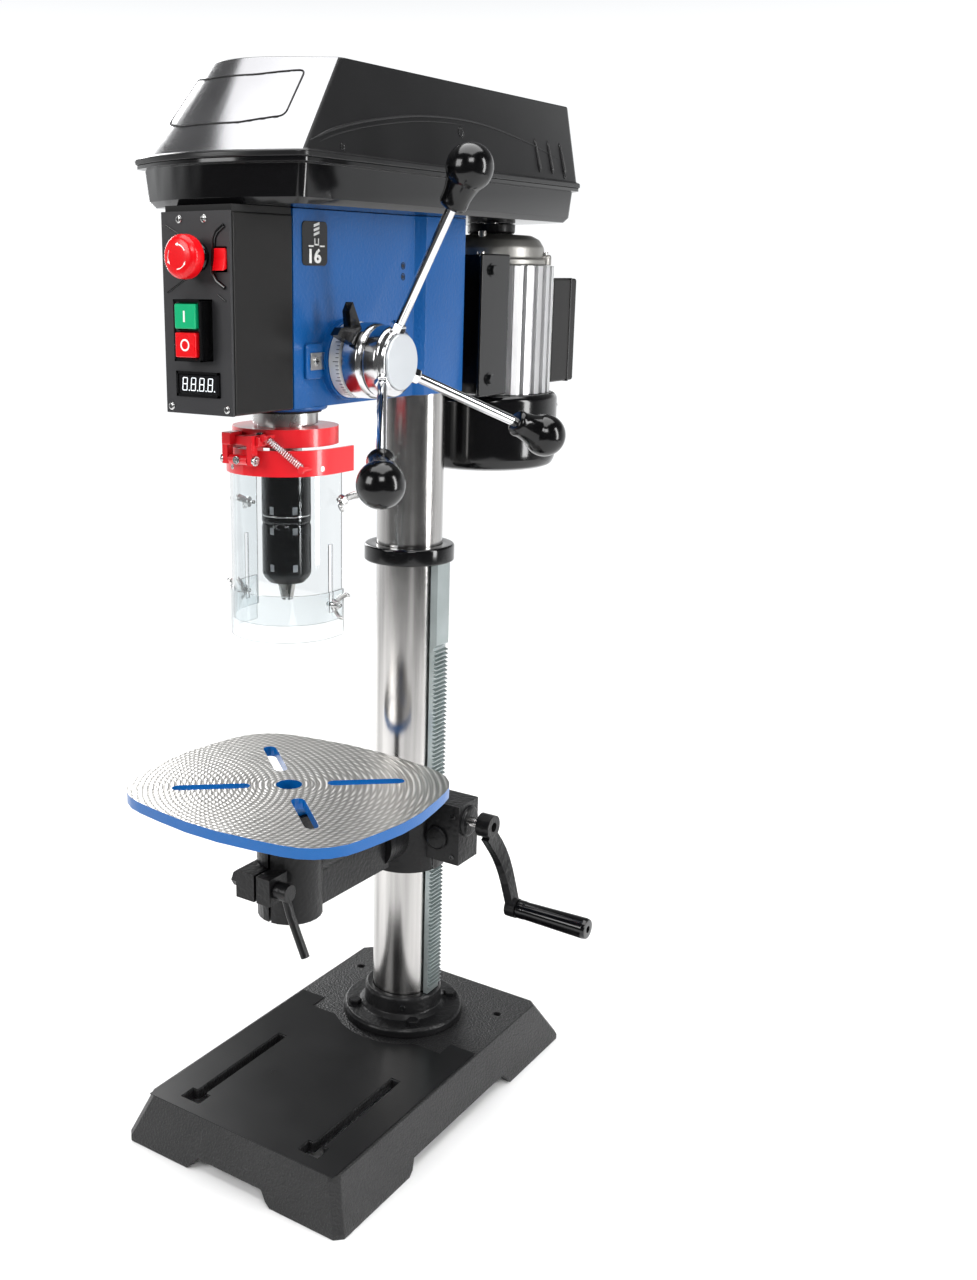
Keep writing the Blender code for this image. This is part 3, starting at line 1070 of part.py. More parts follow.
def lid_hinge():
    """One knuckle pair of the lid hinge."""
    return (-CASE_HALF_X - CASE_LIP - 2 * MM, 0, CASE_HIGH + GAP)


# ---- motor ------------------------------------------------------------------------------

def make_motor():
    """The motor with its bracket, bell, fan cover and terminal box."""
    at = (0, MOTOR_Y, 0)
    outline = []
    for k in range(FINS):
        for offset, radius in ((0.0, MOTOR_R), (0.5, MOTOR_R), (0.5, MOTOR_R - FIN_H),
                               (1.0, MOTOR_R - FIN_H)):
            a = TAU * (k + offset) / FINS
            outline.append((radius * math.cos(a), radius * math.sin(a)))
    shaft_hole = rod(SHAFT_R + RUN, FAN_LOW, BOSS_HIGH + OVER, 20, at=at)
    node("motor_body", "aluminium", moved(prism(outline, MOTOR_LOW, MOTOR_HIGH), at), cut=[shaft_hole])
    low = MOTOR_HIGH + GAP
    bell = turned([(SHAFT_R + RUN, low), (BELL_R, low), (BELL_R, low + 6 * MM),
                   (BELL_R - 3 * MM, low + 7 * MM), (BELL_R - 5 * MM, BELL_HIGH - 8 * MM),
                   (BELL_R - 12 * MM, BELL_HIGH - 1 * MM), (22 * MM, BELL_HIGH + 1 * MM),
                   (21 * MM, BOSS_HIGH), (SHAFT_R + RUN, BOSS_HIGH)],
                  36, at=at, closed=True)
    node("motor_end_bell", "aluminium", bell)
    high = MOTOR_LOW - GAP
    cover = turned([(FAN_R - 12 * MM, FAN_LOW), (FAN_R - 3 * MM, FAN_LOW + 4 * MM),
                    (FAN_R, FAN_LOW + 14 * MM), (FAN_R, high - 4 * MM), (FAN_R - 4 * MM, high),
                    (MOTOR_R - FIN_H - SKIN, high), (MOTOR_R - FIN_H - SKIN, high - SKIN),
                    (FAN_R - 4 * MM - SKIN, high - SKIN), (FAN_R - SKIN, high - 4 * MM - SKIN),
                    (FAN_R - SKIN, FAN_LOW + 14 * MM), (FAN_R - 5 * MM, FAN_LOW + 7 * MM),
                    (FAN_R - 14 * MM, FAN_LOW + SKIN), (14 * MM, FAN_LOW + SKIN), (14 * MM, FAN_LOW)],
                   28, at=at, closed=True)
    node("fan_cover", "gloss_black", cover)
    shaft = rod(SHAFT_R, FAN_LOW + 14 * MM, PULLEY_LOW + PULLEY_STEPS * PULLEY_STEP + 4 * MM, 20, at=at)
    node("motor_shaft", "steel", shaft, at)
    hub = SHAFT_R + GAP
    fan_ring = pipe(16 * MM, hub, FAN_LOW + 16 * MM, FAN_LOW + 46 * MM, 20, at=at)
    blades = []
    for k in range(6):
        blade = block((13 * MM, -1.2 * MM, FAN_LOW + 18 * MM), (46 * MM, 1.2 * MM, FAN_LOW + 44 * MM))
        blades.append(moved(turned_by(blade, TAU * k / 6, "Z"), at))
    node("cooling_fan", "black_plastic", fan_ring, at, join=blades)
    make_bracket()
    wide = TERMINAL_HALF_X
    box = block((-wide, MOTOR_Y + MOTOR_R + 6 * MM, TERMINAL_LOW), (wide, TERMINAL_REAR, TERMINAL_HIGH))
    neck = block((-wide + 12 * MM, MOTOR_Y + MOTOR_R + GAP, TERMINAL_LOW + 15 * MM),
                 (wide - 12 * MM, MOTOR_Y + MOTOR_R + 8 * MM, TERMINAL_HIGH - 15 * MM))
    gland_y = (MOTOR_Y + MOTOR_R + TERMINAL_REAR) / 2
    gland = pipe(8 * MM, 4 * MM, TERMINAL_LOW - 12 * MM, TERMINAL_LOW - GAP, 16, at=(0, gland_y, 0))
    node("terminal_box", "black_plastic", box, join=[neck])
    node("cable_gland", "rubber", gland)


def make_bracket():
    """The motor's mounting plate with its side flanges, and the two bars that carry it on the head."""
    rear = MOTOR_Y - MOTOR_R - GAP
    inside = BRACKET_X - BRACKET_T
    half = [(inside, rear - BRACKET_T), (inside, BRACKET_FRONT), (BRACKET_X, BRACKET_FRONT),
            (BRACKET_X, BRACKET_REAR), (inside, BRACKET_REAR), (inside, rear)]
    outline = half + [(-x, y) for x, y in reversed(half)]
    bars = [rod(BAR_R, COLUMN_R + 6 * MM, rear - 1 * MM, 16, "Y", (0, 0, z)) for z in bar_heights()]
    node("motor_bracket", "gloss_black", prism(outline, BRACKET_LOW, BRACKET_HIGH), join=bars)


def build():
    """Makes every piece, then centres the whole machine over the origin."""
    clear_scene()
    rig = bpy.data.objects.new("column_axis", None)
    bpy.context.collection.objects.link(rig)
    make_base()
    make_column()
    make_support()
    make_arm()
    make_table()
    feed_at = make_head()
    make_quill(feed_at)
    make_drive()
    make_feed(feed_at)
    make_controls()
    make_chuck()
    make_guard()
    make_case()
    make_motor()
    centre_rig(rig)


def centre_rig(rig):
    """Moves everything so that the middle of the machine's plan stands over the origin."""
    bpy.context.view_layer.update()
    scene = bpy.context.evaluated_depsgraph_get()
    low = Vector((1e9, 1e9, 1e9))
    high = -low
    for item in bpy.data.objects:
        if item.type != "MESH" or item.hide_render:
            continue
        for vertex in item.evaluated_get(scene).data.vertices:
            point = item.matrix_world @ vertex.co
            low = Vector(map(min, low, point))
            high = Vector(map(max, high, point))
    rig.location = (-(low.x + high.x) / 2, -(low.y + high.y) / 2, 0)


build()
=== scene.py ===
# %% [markdown]
# # A bench drill press, surface by surface
#
# The machine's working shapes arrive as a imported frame: every piece that carries, turns or
# slides is already there, at its real size. This lesson gives those pieces their real look.
# Round and curved pieces are worked out again as fine surfaces from a formula. Plain castings
# keep their shape and get broken edges. Everything gets a finish built from shader nodes.

# %% Load the frame
import json
import math

import bmesh
import bpy
import numpy as np
from mathutils import Matrix, Vector
from mathutils.bvhtree import BVHTree


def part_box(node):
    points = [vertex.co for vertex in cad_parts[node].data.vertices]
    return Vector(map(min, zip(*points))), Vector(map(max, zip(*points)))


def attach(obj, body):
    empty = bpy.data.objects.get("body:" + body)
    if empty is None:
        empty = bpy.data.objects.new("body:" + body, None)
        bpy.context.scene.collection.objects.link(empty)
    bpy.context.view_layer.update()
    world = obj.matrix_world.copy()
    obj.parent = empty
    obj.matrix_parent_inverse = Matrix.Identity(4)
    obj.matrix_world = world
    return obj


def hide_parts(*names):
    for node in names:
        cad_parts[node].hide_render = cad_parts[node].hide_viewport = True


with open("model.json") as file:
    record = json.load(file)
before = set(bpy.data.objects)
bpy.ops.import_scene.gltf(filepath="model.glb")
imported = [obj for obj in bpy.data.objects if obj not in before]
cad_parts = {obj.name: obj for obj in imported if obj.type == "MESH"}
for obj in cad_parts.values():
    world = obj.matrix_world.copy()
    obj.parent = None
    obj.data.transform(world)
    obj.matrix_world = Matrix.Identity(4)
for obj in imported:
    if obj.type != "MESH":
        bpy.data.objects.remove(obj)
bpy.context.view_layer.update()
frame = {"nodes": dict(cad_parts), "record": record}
MM = 0.001
TAU = math.tau


# %% [markdown]
# ## Where things are
#
# A piece must sit exactly on the frame, so no place is typed in. Each one is read from the
# box of a frame node: the column gives the main axis, the spindle gives the drilling axis,
# and the motor shaft and the feed shaft give the other two.

# %% Read the axes and the corners
def corners(node):
    """The lowest and highest corner of a frame node, as numpy arrays."""
    low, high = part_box(node)
    return np.array(low), np.array(high)


def middle(node):
    """The centre of a frame node's box."""
    low, high = corners(node)
    return (low + high) / 2


def at(x, y, z):
    """A point given in millimetres from the column axis and from the floor."""
    return np.array([COLUMN[0] + x * MM, COLUMN[1] + y * MM, z * MM])


COLUMN = middle("column")
SPINDLE = middle("spindle")
MOTOR = middle("motor_shaft")
FEED = middle("hub_cap")
ESTOP = middle("estop_button")
case_low, case_high = corners("belt_tray")
table_low, table_high = corners("table")
print("column at", COLUMN.round(3), "spindle at", SPINDLE.round(3))


# %% [markdown]
# ## Surfaces from two parameters
#
# Nearly every piece here is a grid of points: one direction runs round the piece and the other
# runs along it. A grid is easy to compute as a whole array, and its quads follow by index
# arithmetic. Shapes are kept as plain (points, faces) pairs, so that a piece can be put
# together from several of them before it becomes an object.

# %% Grid and sweep helpers
def grid(points, around=True, along=False, caps=True):
    """Points[i, k] joined by quads; i runs along, k runs around; open ends are closed by a cap."""
    rows, cols = points.shape[:2]
    index = np.arange(rows * cols).reshape(rows, cols)
    if around:
        index = np.hstack([index, index[:, :1]])
    if along:
        index = np.vstack([index, index[:1]])
    quads = np.stack([index[:-1, :-1], index[:-1, 1:], index[1:, 1:], index[1:, :-1]], -1)
    faces = quads.reshape(-1, 4).tolist()
    if caps and around and not along:
        faces.append(list(range(cols))[::-1])
        faces.append(list(range((rows - 1) * cols, rows * cols)))
    return points.reshape(-1, 3), faces


def across(direction):
    """Two unit vectors square to a direction, and the direction itself."""
    w = np.array(direction, float)
    w /= np.linalg.norm(w)
    u = np.cross((0.0, 0.0, 1.0) if abs(w[2]) < 0.9 else (1.0, 0.0, 0.0), w)
    u /= np.linalg.norm(u)
    return u, np.cross(w, u), w


def turned(profile, start, direction=(0, 0, 1), steps=96, ring=False):
    """start + w*height + radius*(u cos a + v sin a), for each (radius, height) of a profile."""
    u, v, w = across(direction)
    profile = np.array(profile, float)
    a = np.linspace(0, TAU, steps, endpoint=False)
    spokes = np.cos(a)[:, None] * u + np.sin(a)[:, None] * v
    radius = np.maximum(profile[:, 0], 1e-6)[:, None, None]
    points = np.array(start) + profile[:, 1][:, None, None] * w + radius * spokes
    return grid(points, along=ring, caps=not ring)


def eased(profile, radius=1.0 * MM, steps=4):
    """A profile whose corners are rounded: each corner p becomes a short quadratic curve."""
    p = np.array(profile, float)
    out = [p[:1]]
    t = np.linspace(0, 1, steps + 1)[:, None]
    for before, corner, after in zip(p[:-2], p[1:-1], p[2:]):
        back = before - corner
        ahead = after - corner
        back = back * min(radius, np.linalg.norm(back) * 0.45) / max(np.linalg.norm(back), 1e-9)
        ahead = ahead * min(radius, np.linalg.norm(ahead) * 0.45) / max(np.linalg.norm(ahead), 1e-9)
        out.append((1 - t) ** 2 * (corner + back) + 2 * t * (1 - t) * corner + t ** 2 * (corner + ahead))
    out.append(p[-1:])
    return np.vstack(out)


def turner(origin, axis, reach):
    """A function that turns profiles in millimetres about one axis of the machine."""
    def about(profile, radius=reach, steps=96, closed=True):
        if closed:
            profile = eased(profile + profile[:2], radius, 4)[1:-1]
        else:
            profile = eased(profile, radius, 4)
        return turned(profile * MM, origin, axis, steps, ring=closed)
    return about


def tube(path, radius, steps=16, flat=1.0, side=(0, 0, 1)):
    """A round or flattened tube: path + radius*(u cos a + flat*v sin a), u kept near a fixed side."""
    path = np.array(path, float)
    ahead = np.gradient(path, axis=0)
    ahead /= np.linalg.norm(ahead, axis=1)[:, None]
    side = np.array(side, float)
    u = side - ahead * (ahead @ side)[:, None]
    u /= np.linalg.norm(u, axis=1)[:, None]
    v = np.cross(ahead, u)
    a = np.linspace(0, TAU, steps, endpoint=False)[None, :, None]
    r = np.broadcast_to(np.asarray(radius, float), (len(path),))[:, None, None]
    return grid(path[:, None] + r * (u[:, None] * np.cos(a) + flat * v[:, None] * np.sin(a)))


def prism(outline, low, high, axis=2):
    """An outline of (p, q) points carried from low to high along an axis."""
    outline = np.array(outline, float)
    rings = []
    for level in (low, high):
        w = np.full(len(outline), level)
        order = {0: (w, outline[:, 0], outline[:, 1]), 1: (outline[:, 0], w, outline[:, 1]),
                 2: (outline[:, 0], outline[:, 1], w)}[axis]
        rings.append(np.stack(order, -1))
    return grid(np.array(rings))


def slab(low, high):
    """A box between two corners; its edges are broken later by a bevel."""
    return prism([(low[0], low[1]), (high[0], low[1]), (high[0], high[1]), (low[0], high[1])], low[2],
                 high[2])


def smooth_path(points, count=40):
    """A Catmull-Rom curve through a few points, sampled evenly in its parameter."""
    p = np.array(points, float)
    p = np.vstack([2 * p[0] - p[1], p, 2 * p[-1] - p[-2]])
    t = np.linspace(0, len(p) - 3 - 1e-6, count)
    k = t.astype(int)
    s = (t - k)[:, None]
    a, b, c, d = p[k], p[k + 1], p[k + 2], p[k + 3]
    return 0.5 * (2 * b + (c - a) * s + (2 * a - 5 * b + 4 * c - d) * s ** 2
                  + (3 * b - a - 3 * c + d) * s ** 3)


# %% [markdown]
# ## From arrays to objects
#
# One function makes a piece: it joins the shapes, points the faces outwards, shades it, puts a
# bevel on it where the real edges are broken, and hangs it on the frame body it moves with.
# A second one takes a frame node whose shape is already right and gives its copy fine edges.


def add_object(name, data):
    """A new object in the scene."""
    thing = bpy.data.objects.new(name, data)
    bpy.context.scene.collection.objects.link(thing)
    return thing


def hang(piece, finish, body, replaces=(), bevel=0.0, angle=32):
    """Finish, bevel, body and replaced nodes of a new mesh object."""
    for one in finish if isinstance(finish, (list, tuple)) else [finish]:
        piece.data.materials.append(one)
    piece.data.shade_smooth()
    piece.data.set_sharp_from_angle(angle=math.radians(angle))
    if bevel:
        broken = piece.modifiers.new("broken edges", "BEVEL")
        broken.width = bevel
        broken.segments = 3
        broken.limit_method = "ANGLE"
        broken.angle_limit = math.radians(angle)
        broken.harden_normals = True
    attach(piece, body)
    names = [replaces] if isinstance(replaces, str) else list(replaces)
    if names:
        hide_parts(*names)
    return piece


def make(name, shapes, finish, body, replaces=(), bevel=0.0, angle=32):
    """One object from several closed (points, faces) shapes, faces turned outwards."""
    points = np.vstack([shape[0] for shape in shapes])
    faces = []
    start = 0
    for shape in shapes:
        faces += [[i + start for i in face] for face in shape[1]]
        start += len(shape[0])
    data = bpy.data.meshes.new(name)
    data.from_pydata(points.tolist(), [], faces)
    turn_outwards(data)
    return hang(add_object(name, data), finish, body, replaces, bevel, angle)


def turn_outwards(data, merge=0.0):
    """Merged points and outward normals of a closed mesh."""
    work = bmesh.new()
    work.from_mesh(data)
    if merge:
        bmesh.ops.remove_doubles(work, verts=work.verts, dist=merge)
        bmesh.ops.dissolve_limit(work, angle_limit=math.radians(0.6), verts=work.verts, edges=work.edges)
    bmesh.ops.recalc_face_normals(work, faces=work.faces)
    work.to_mesh(data)
    work.free()


def refined(node, finish, body, bevel=1.0 * MM, angle=32):
    """A copy of a frame node with its triangles merged into flats and its edges broken."""
    data = frame["nodes"][node].data.copy()
    data.materials.clear()
    turn_outwards(data, merge=1e-6)
    return hang(add_object(node + "_fine", data), finish, body, node, bevel, angle)


def refine_all(*rows):
    """Fine copies of several frame nodes, from (node, finish, body, bevel in millimetres)."""
    for node, finish, body, edge in rows:
        refined(node, finish, body, edge * MM)


def paint_by(piece, finish, chosen):
    """Adds a finish and gives it to the faces whose centre and normal pass a test."""
    piece.data.materials.append(finish)
    slot = len(piece.data.materials) - 1
    for face in piece.data.polygons:
        if chosen(face.center, face.normal):
            face.material_index = slot


def mesh_from(curve, transform):
    """The mesh that a filled flat curve makes, carried into place."""
    holder = add_object("curve holder", curve)
    bpy.context.view_layer.update()
    data = bpy.data.meshes.new_from_object(holder)
    bpy.data.objects.remove(holder)
    data.transform(transform)
    data.materials.clear()
    turn_outwards(data, merge=1e-7)
    return data


def socket_screw(centre, direction, radius=3.0 * MM, proud=1.2 * MM):
    """A cap screw's head: a short round button with a round socket."""
    u, v, w = across(direction)
    profile = eased([(0, -1 * MM), (radius, -1 * MM), (radius, proud), (radius * 0.55, proud)], 0.5 * MM)
    bottom = [(radius * 0.5, proud * 0.1), (0, proud * 0.1)]
    return turned(np.vstack([profile, bottom]), centre, direction, 24)


def hex_head(centre, direction, radius=6 * MM, height=4 * MM):
    """A hexagon bolt head on a washer."""
    washer = turned([(radius * 1.25, -0.5 * MM), (radius * 1.25, 1 * MM)], centre, direction, 32)
    crown = [(radius, 0.9 * MM), (radius, height - 0.8 * MM), (radius * 0.88, height), (0, height)]
    return [washer, turned(crown, centre, direction, 6)]


# %% [markdown]
# ## Shared effects
#
# Real finishes are never one colour. Four small node groups carry what the materials share:
# a slow drift between two tones, an uneven gloss, the pebbled skin of hammered enamel and cast
# iron, and the fine lines that turning, grinding and brushing leave. Each material places the
# group with its own scale and strength.

# %% Build the node groups
def new_group(name, inputs, outputs):
    """An empty shader group with named sockets, and its input and output nodes."""
    group = bpy.data.node_groups.new(name, "ShaderNodeTree")
    for label, kind, value in inputs:
        made = group.interface.new_socket(label, in_out="INPUT", socket_type=kind)
        if value is not None:
            made.default_value = value
    for label, kind in outputs:
        group.interface.new_socket(label, in_out="OUTPUT", socket_type=kind)
    return group, group.nodes.new("NodeGroupInput"), group.nodes.new("NodeGroupOutput")


VECTOR, FLOAT, COLOUR = "NodeSocketVector", "NodeSocketFloat", "NodeSocketColor"


def add_node(tree, kind, values=None, **settings):
    """A new shader node with its settings and the values of its inputs."""
    made = tree.nodes.new("ShaderNode" + kind)
    for name, value in settings.items():
        setattr(made, name, value)
    for socket, value in (values or {}).items():
        made.inputs[socket].default_value = value
    return made


def connect(tree, *pairs):
    """A link from the first to the second socket of each pair."""
    for source, target in pairs:
        tree.links.new(source, target)


def tone_group():
    """Colour = mix(A, B, noise)."""
    group, into, out = new_group("tone drift", [("Vector", VECTOR, None), ("Scale", FLOAT, 8.0),
                                 ("A", COLOUR, (1, 1, 1, 1)), ("B", COLOUR,
                                                               (0, 0, 0, 1))], [("Colour", COLOUR)])
    noise = add_node(group, "TexNoise", {"Detail": 6})
    mix = add_node(group, "Mix", data_type="RGBA")
    connect(group, (into.outputs["Vector"], noise.inputs["Vector"]),
            (into.outputs["Scale"], noise.inputs["Scale"]),
            (noise.outputs["Fac"], mix.inputs["Factor"]), (into.outputs["A"], mix.inputs[6]),
            (into.outputs["B"], mix.inputs[7]), (mix.outputs[2], out.inputs["Colour"]))
    return group


def gloss_group():
    """Roughness = base + amount*(noise - 0.5)."""
    group, into, out = new_group("uneven gloss", [("Vector", VECTOR, None), ("Scale", FLOAT, 20.0),
                                 ("Base", FLOAT, 0.4), ("Amount", FLOAT, 0.15)], [("Roughness", FLOAT)])
    noise = add_node(group, "TexNoise", {"Detail": 8})
    spread = add_node(group, "Math", {1: 0.5}, operation="SUBTRACT")
    scaled = add_node(group, "Math", operation="MULTIPLY_ADD")
    connect(group, (into.outputs["Vector"], noise.inputs["Vector"]),
            (into.outputs["Scale"], noise.inputs["Scale"]),
            (noise.outputs["Fac"], spread.inputs[0]), (spread.outputs[0], scaled.inputs[0]),
            (into.outputs["Amount"], scaled.inputs[1]), (into.outputs["Base"], scaled.inputs[2]),
            (scaled.outputs[0], out.inputs["Roughness"]))
    return group


def skin_group():
    """Height = smooth cell distance + a little noise: pebbles of hammered paint or sand casting."""
    group, into, out = new_group("pebbled skin", [("Vector", VECTOR, None), ("Scale", FLOAT, 300.0)],
                                 [("Height", FLOAT)])
    cells = add_node(group, "TexVoronoi", feature="SMOOTH_F1")
    noise = add_node(group, "TexNoise", {"Detail": 5})
    total = add_node(group, "Math", {1: 0.6}, operation="MULTIPLY_ADD")
    for texture in (cells, noise):
        connect(group, (into.outputs["Vector"], texture.inputs["Vector"]),
                (into.outputs["Scale"], texture.inputs["Scale"]))
    connect(group, (cells.outputs["Distance"], total.inputs[0]), (noise.outputs["Fac"], total.inputs[2]),
            (total.outputs[0], out.inputs["Height"]))
    return group


def line_group():
    """Height = noise stretched across one direction; the vector's small scale gives the lines' run."""
    group, into, out = new_group("drawn lines", [("Vector", VECTOR, None), ("Stretch", VECTOR, (1, 1, 1)),
                                 ("Scale", FLOAT, 600.0)], [("Height", FLOAT)])
    squeeze = add_node(group, "VectorMath", operation="MULTIPLY")
    noise = add_node(group, "TexNoise", {"Detail": 4})
    connect(group, (into.outputs["Vector"], squeeze.inputs[0]), (into.outputs["Stretch"], squeeze.inputs[1]),
            (squeeze.outputs[0], noise.inputs["Vector"]), (into.outputs["Scale"], noise.inputs["Scale"]),
            (noise.outputs["Fac"], out.inputs["Height"]))
    return group


TONE, GLOSS, SKIN, LINES = tone_group(), gloss_group(), skin_group(), line_group()


# %% [markdown]
# ## Finishes
#
# A finish starts from one recipe: two tones, a base roughness with its unevenness, and an
# optional relief. The relief is either the pebbled skin or drawn lines. What is the same all
# over, such as coat or metallic, sits on the shader's own socket.

# %% The finish recipe
def finish(name, tone_a, tone_b, rough, metallic=0.0, skin=None, lines=None, strength=0.1, depth=0.0002,
           spread=0.12, drift=9.0, coat=0.0, specular=0.5, along=None):
    """A Principled material with drifting tone, uneven gloss and an optional bump."""
    made = bpy.data.materials.new(name)
    made.use_nodes = True
    tree = made.node_tree
    shader = tree.nodes["Principled BSDF"]
    for socket, value in (("Metallic", metallic), ("Coat Weight", coat), ("Coat Roughness", 0.08),
                          ("Specular IOR Level", specular)):
        shader.inputs[socket].default_value = value
    place = add_node(tree, "TexCoord").outputs["Object"]
    tone = add_node(tree, "Group", {"Scale": drift, "A": (*tone_a, 1), "B": (*tone_b, 1)}, node_tree=TONE)
    gloss = add_node(tree, "Group", {"Base": rough, "Amount": spread}, node_tree=GLOSS)
    drawn = place
    if along:
        squeeze = add_node(tree, "VectorMath", {1: along}, operation="MULTIPLY")
        connect(tree, (place, squeeze.inputs[0]))
        drawn = squeeze.outputs[0]
    connect(tree, (drawn, tone.inputs["Vector"]), (place, gloss.inputs["Vector"]),
            (tone.outputs["Colour"], shader.inputs["Base Color"]),
            (gloss.outputs["Roughness"], shader.inputs["Roughness"]))
    if skin or lines:
        relief = add_node(tree, "Group", {"Scale": skin or 500.0}, node_tree=SKIN if skin else LINES)
        if lines:
            relief.inputs["Stretch"].default_value = lines
        bump = add_node(tree, "Bump", {"Strength": strength, "Distance": depth})
        connect(tree, (place, relief.inputs["Vector"]), (relief.outputs["Height"], bump.inputs["Height"]),
                (bump.outputs["Normal"], shader.inputs["Normal"]))
    return made


# %% The machine's finishes
blue_enamel = finish("blue hammered enamel", (0.0012, 0.066, 0.240), (0.002, 0.090, 0.310), 0.33, skin=300,
                     strength=0.7, depth=0.0005, coat=0.15, spread=0.12, specular=0.3)
black_enamel = finish("black hammered enamel", (0.004, 0.004, 0.0045), (0.010, 0.010, 0.0105), 0.36, skin=250,
                      strength=0.9, depth=0.0006, coat=0.04, spread=0.24, specular=0.22)
cast_black = finish("black cast iron", (0.004, 0.004, 0.0045), (0.012, 0.012, 0.0125), 0.34, skin=420,
                    strength=0.5, depth=0.0004, coat=0.05, specular=0.22)
lid_plastic = finish("satin lid plastic", (0.006, 0.006, 0.0065), (0.012, 0.012, 0.0125), 0.3, skin=1500,
                     strength=0.14, depth=0.0001, spread=0.1, specular=0.3)
gloss_black = finish("gloss black moulding", (0.0015, 0.0015, 0.0018), (0.004, 0.004, 0.0045), 0.14, skin=90,
                     strength=0.03, depth=0.0003, coat=0.2, spread=0.05, specular=0.35)
knob_black = finish("black phenolic knob", (0.0012, 0.0012, 0.0014), (0.003, 0.003, 0.0034), 0.17, skin=60,
                    strength=0.03, depth=0.0003, coat=0.1, spread=0.06, specular=0.35)
panel_grey = finish("textured panel", (0.016, 0.016, 0.018), (0.030, 0.030, 0.032), 0.46, skin=1900,
                    strength=0.5, depth=0.00012, spread=0.1, specular=0.35)
box_black = finish("control box moulding", (0.008, 0.0076, 0.0076), (0.012, 0.0115, 0.011), 0.34, skin=1200,
                   strength=0.14, depth=0.0001, specular=0.2)
# The column's tone runs from black to near white in long vertical streaks: painted reflection, standing in
# for the dark and bright bands that the ground tube reflects.
polished = finish("column steel with painted streaks", (0.0, 0.0, 0.0), (0.92, 0.90, 0.88), 0.2, 1.0, lines=(1, 1, 0.02),
                  strength=0.2, depth=0.0002, spread=0.14, drift=60, along=(1, 1, 0.03))
machined = finish("machined steel", (0.42, 0.41, 0.40), (0.62, 0.61, 0.60), 0.28, 1.0, lines=(0.05, 1, 1),
                  strength=0.12, depth=0.0001)
zinc = finish("zinc plated rack", (0.30, 0.34, 0.34), (0.46, 0.51, 0.51), 0.36, 0.9, skin=180, strength=0.25,
              depth=0.0002, drift=30)
chrome = finish("polished chrome", (0.66, 0.66, 0.67), (0.78, 0.78, 0.79), 0.08, 1.0, skin=40, strength=0.02,
                depth=0.0002, spread=0.05)
cap_metal = finish("brushed cap", (0.50, 0.53, 0.56), (0.62, 0.64, 0.66), 0.42, 0.55, lines=(1, 0.03, 1),
                   strength=0.06, depth=0.0001, spread=0.08)
dark_steel = finish("blackened steel", (0.003, 0.0035, 0.004), (0.007, 0.0075, 0.008), 0.13, 0.0,
                    lines=(1, 1, 0.06),
                    strength=0.05, depth=0.0001, spread=0.06, coat=0.1, specular=0.4)
jaw_steel = finish("jaw steel", (0.30, 0.29, 0.28), (0.48, 0.47, 0.45), 0.28, 1.0, lines=(1, 1, 0.05),
                   strength=0.1)
red_plastic = finish("red moulding", (0.62, 0.0015, 0.005), (0.74, 0.003, 0.008), 0.27, skin=700,
                     strength=0.08,
                     depth=0.0001, coat=0.1, specular=0.3)
green_plastic = finish("green key", (0.003, 0.33, 0.13), (0.005, 0.42, 0.18), 0.25, skin=600, strength=0.05,
                       coat=0.1, specular=0.3)
ribbed_alloy = finish("extruded alloy", (0.55, 0.55, 0.56), (0.74, 0.74, 0.74), 0.36, 1.0, lines=(1, 1, 0.02),
                      strength=0.15, depth=0.0002)
cast_alloy = finish("cast alloy", (0.24, 0.235, 0.22), (0.42, 0.41, 0.39), 0.38, 0.85, skin=350,
                    strength=0.45,
                    depth=0.0003, drift=25)
rubber = finish("rubber", (0.006, 0.006, 0.006), (0.012, 0.012, 0.012), 0.7, skin=800, strength=0.2,
                specular=0.3)
white_mark = finish("white marking", (0.80, 0.80, 0.78), (0.88, 0.88, 0.86), 0.45, skin=500, strength=0.05)
scale_white = finish("scale ring", (0.62, 0.63, 0.63), (0.74, 0.74, 0.74), 0.35, 0.25, skin=300,
                     strength=0.05)
# Black for print such as the scale ticks and the lid's frame line, and also for painted shade: the crosses on
# screws, the fan cap's slots and the discs under the grub screws.
marking_and_painted_shade = finish("black marking and painted shade", (0.004, 0.004, 0.004), (0.008, 0.008, 0.008), 0.5, skin=500,
                    strength=0.05,
                    specular=0.3)
screw_steel = finish("screw steel", (0.42, 0.42, 0.42), (0.62, 0.62, 0.61), 0.25, 1.0, skin=200, strength=0.1)
display_glass = finish("dark display window", (0.002, 0.002, 0.003), (0.004, 0.004, 0.005), 0.12, skin=50,
                       strength=0.02, coat=0.3)
blue_rim = finish("blue rim enamel", (0.0015, 0.085, 0.30), (0.002, 0.115, 0.38), 0.3, skin=420, strength=0.4,
                  depth=0.0003, coat=0.15, specular=0.3)
# The lid is black plastic; this bright metal tone on its sloping front is a painted highlight, standing in
# for the light that the front reflects.
lid_front_painted_highlight = finish("lid front painted highlight", (0.10, 0.10, 0.105), (0.42, 0.42, 0.43), 0.24, 0.9, skin=900,
                   strength=0.06, depth=0.0001, spread=0.1, drift=5)
hub_chrome = finish("turned hub chrome", (0.52, 0.52, 0.53), (0.70, 0.70, 0.71), 0.17, 1.0,
                    lines=(0.03, 1, 1),
                    strength=0.05, depth=0.0001, spread=0.06)
milled_black = finish("milled black pad", (0.004, 0.004, 0.0045), (0.009, 0.009, 0.0095), 0.3,
                      lines=(0.05, 1, 1),
                      strength=0.25, depth=0.0002, spread=0.12, specular=0.22)
print(len(bpy.data.materials), "finishes")


# %% [markdown]
# ## The foot and the column
#
# The foot is one rough casting, so its frame piece keeps its shape and only gets broken edges.
# Its front half has been milled flat: a thin smoother pad lies on it, with the two T-slots as
# holes and an arc left free round the flange. The column is a ground tube, so it is turned
# again with many more sides than the frame needs.

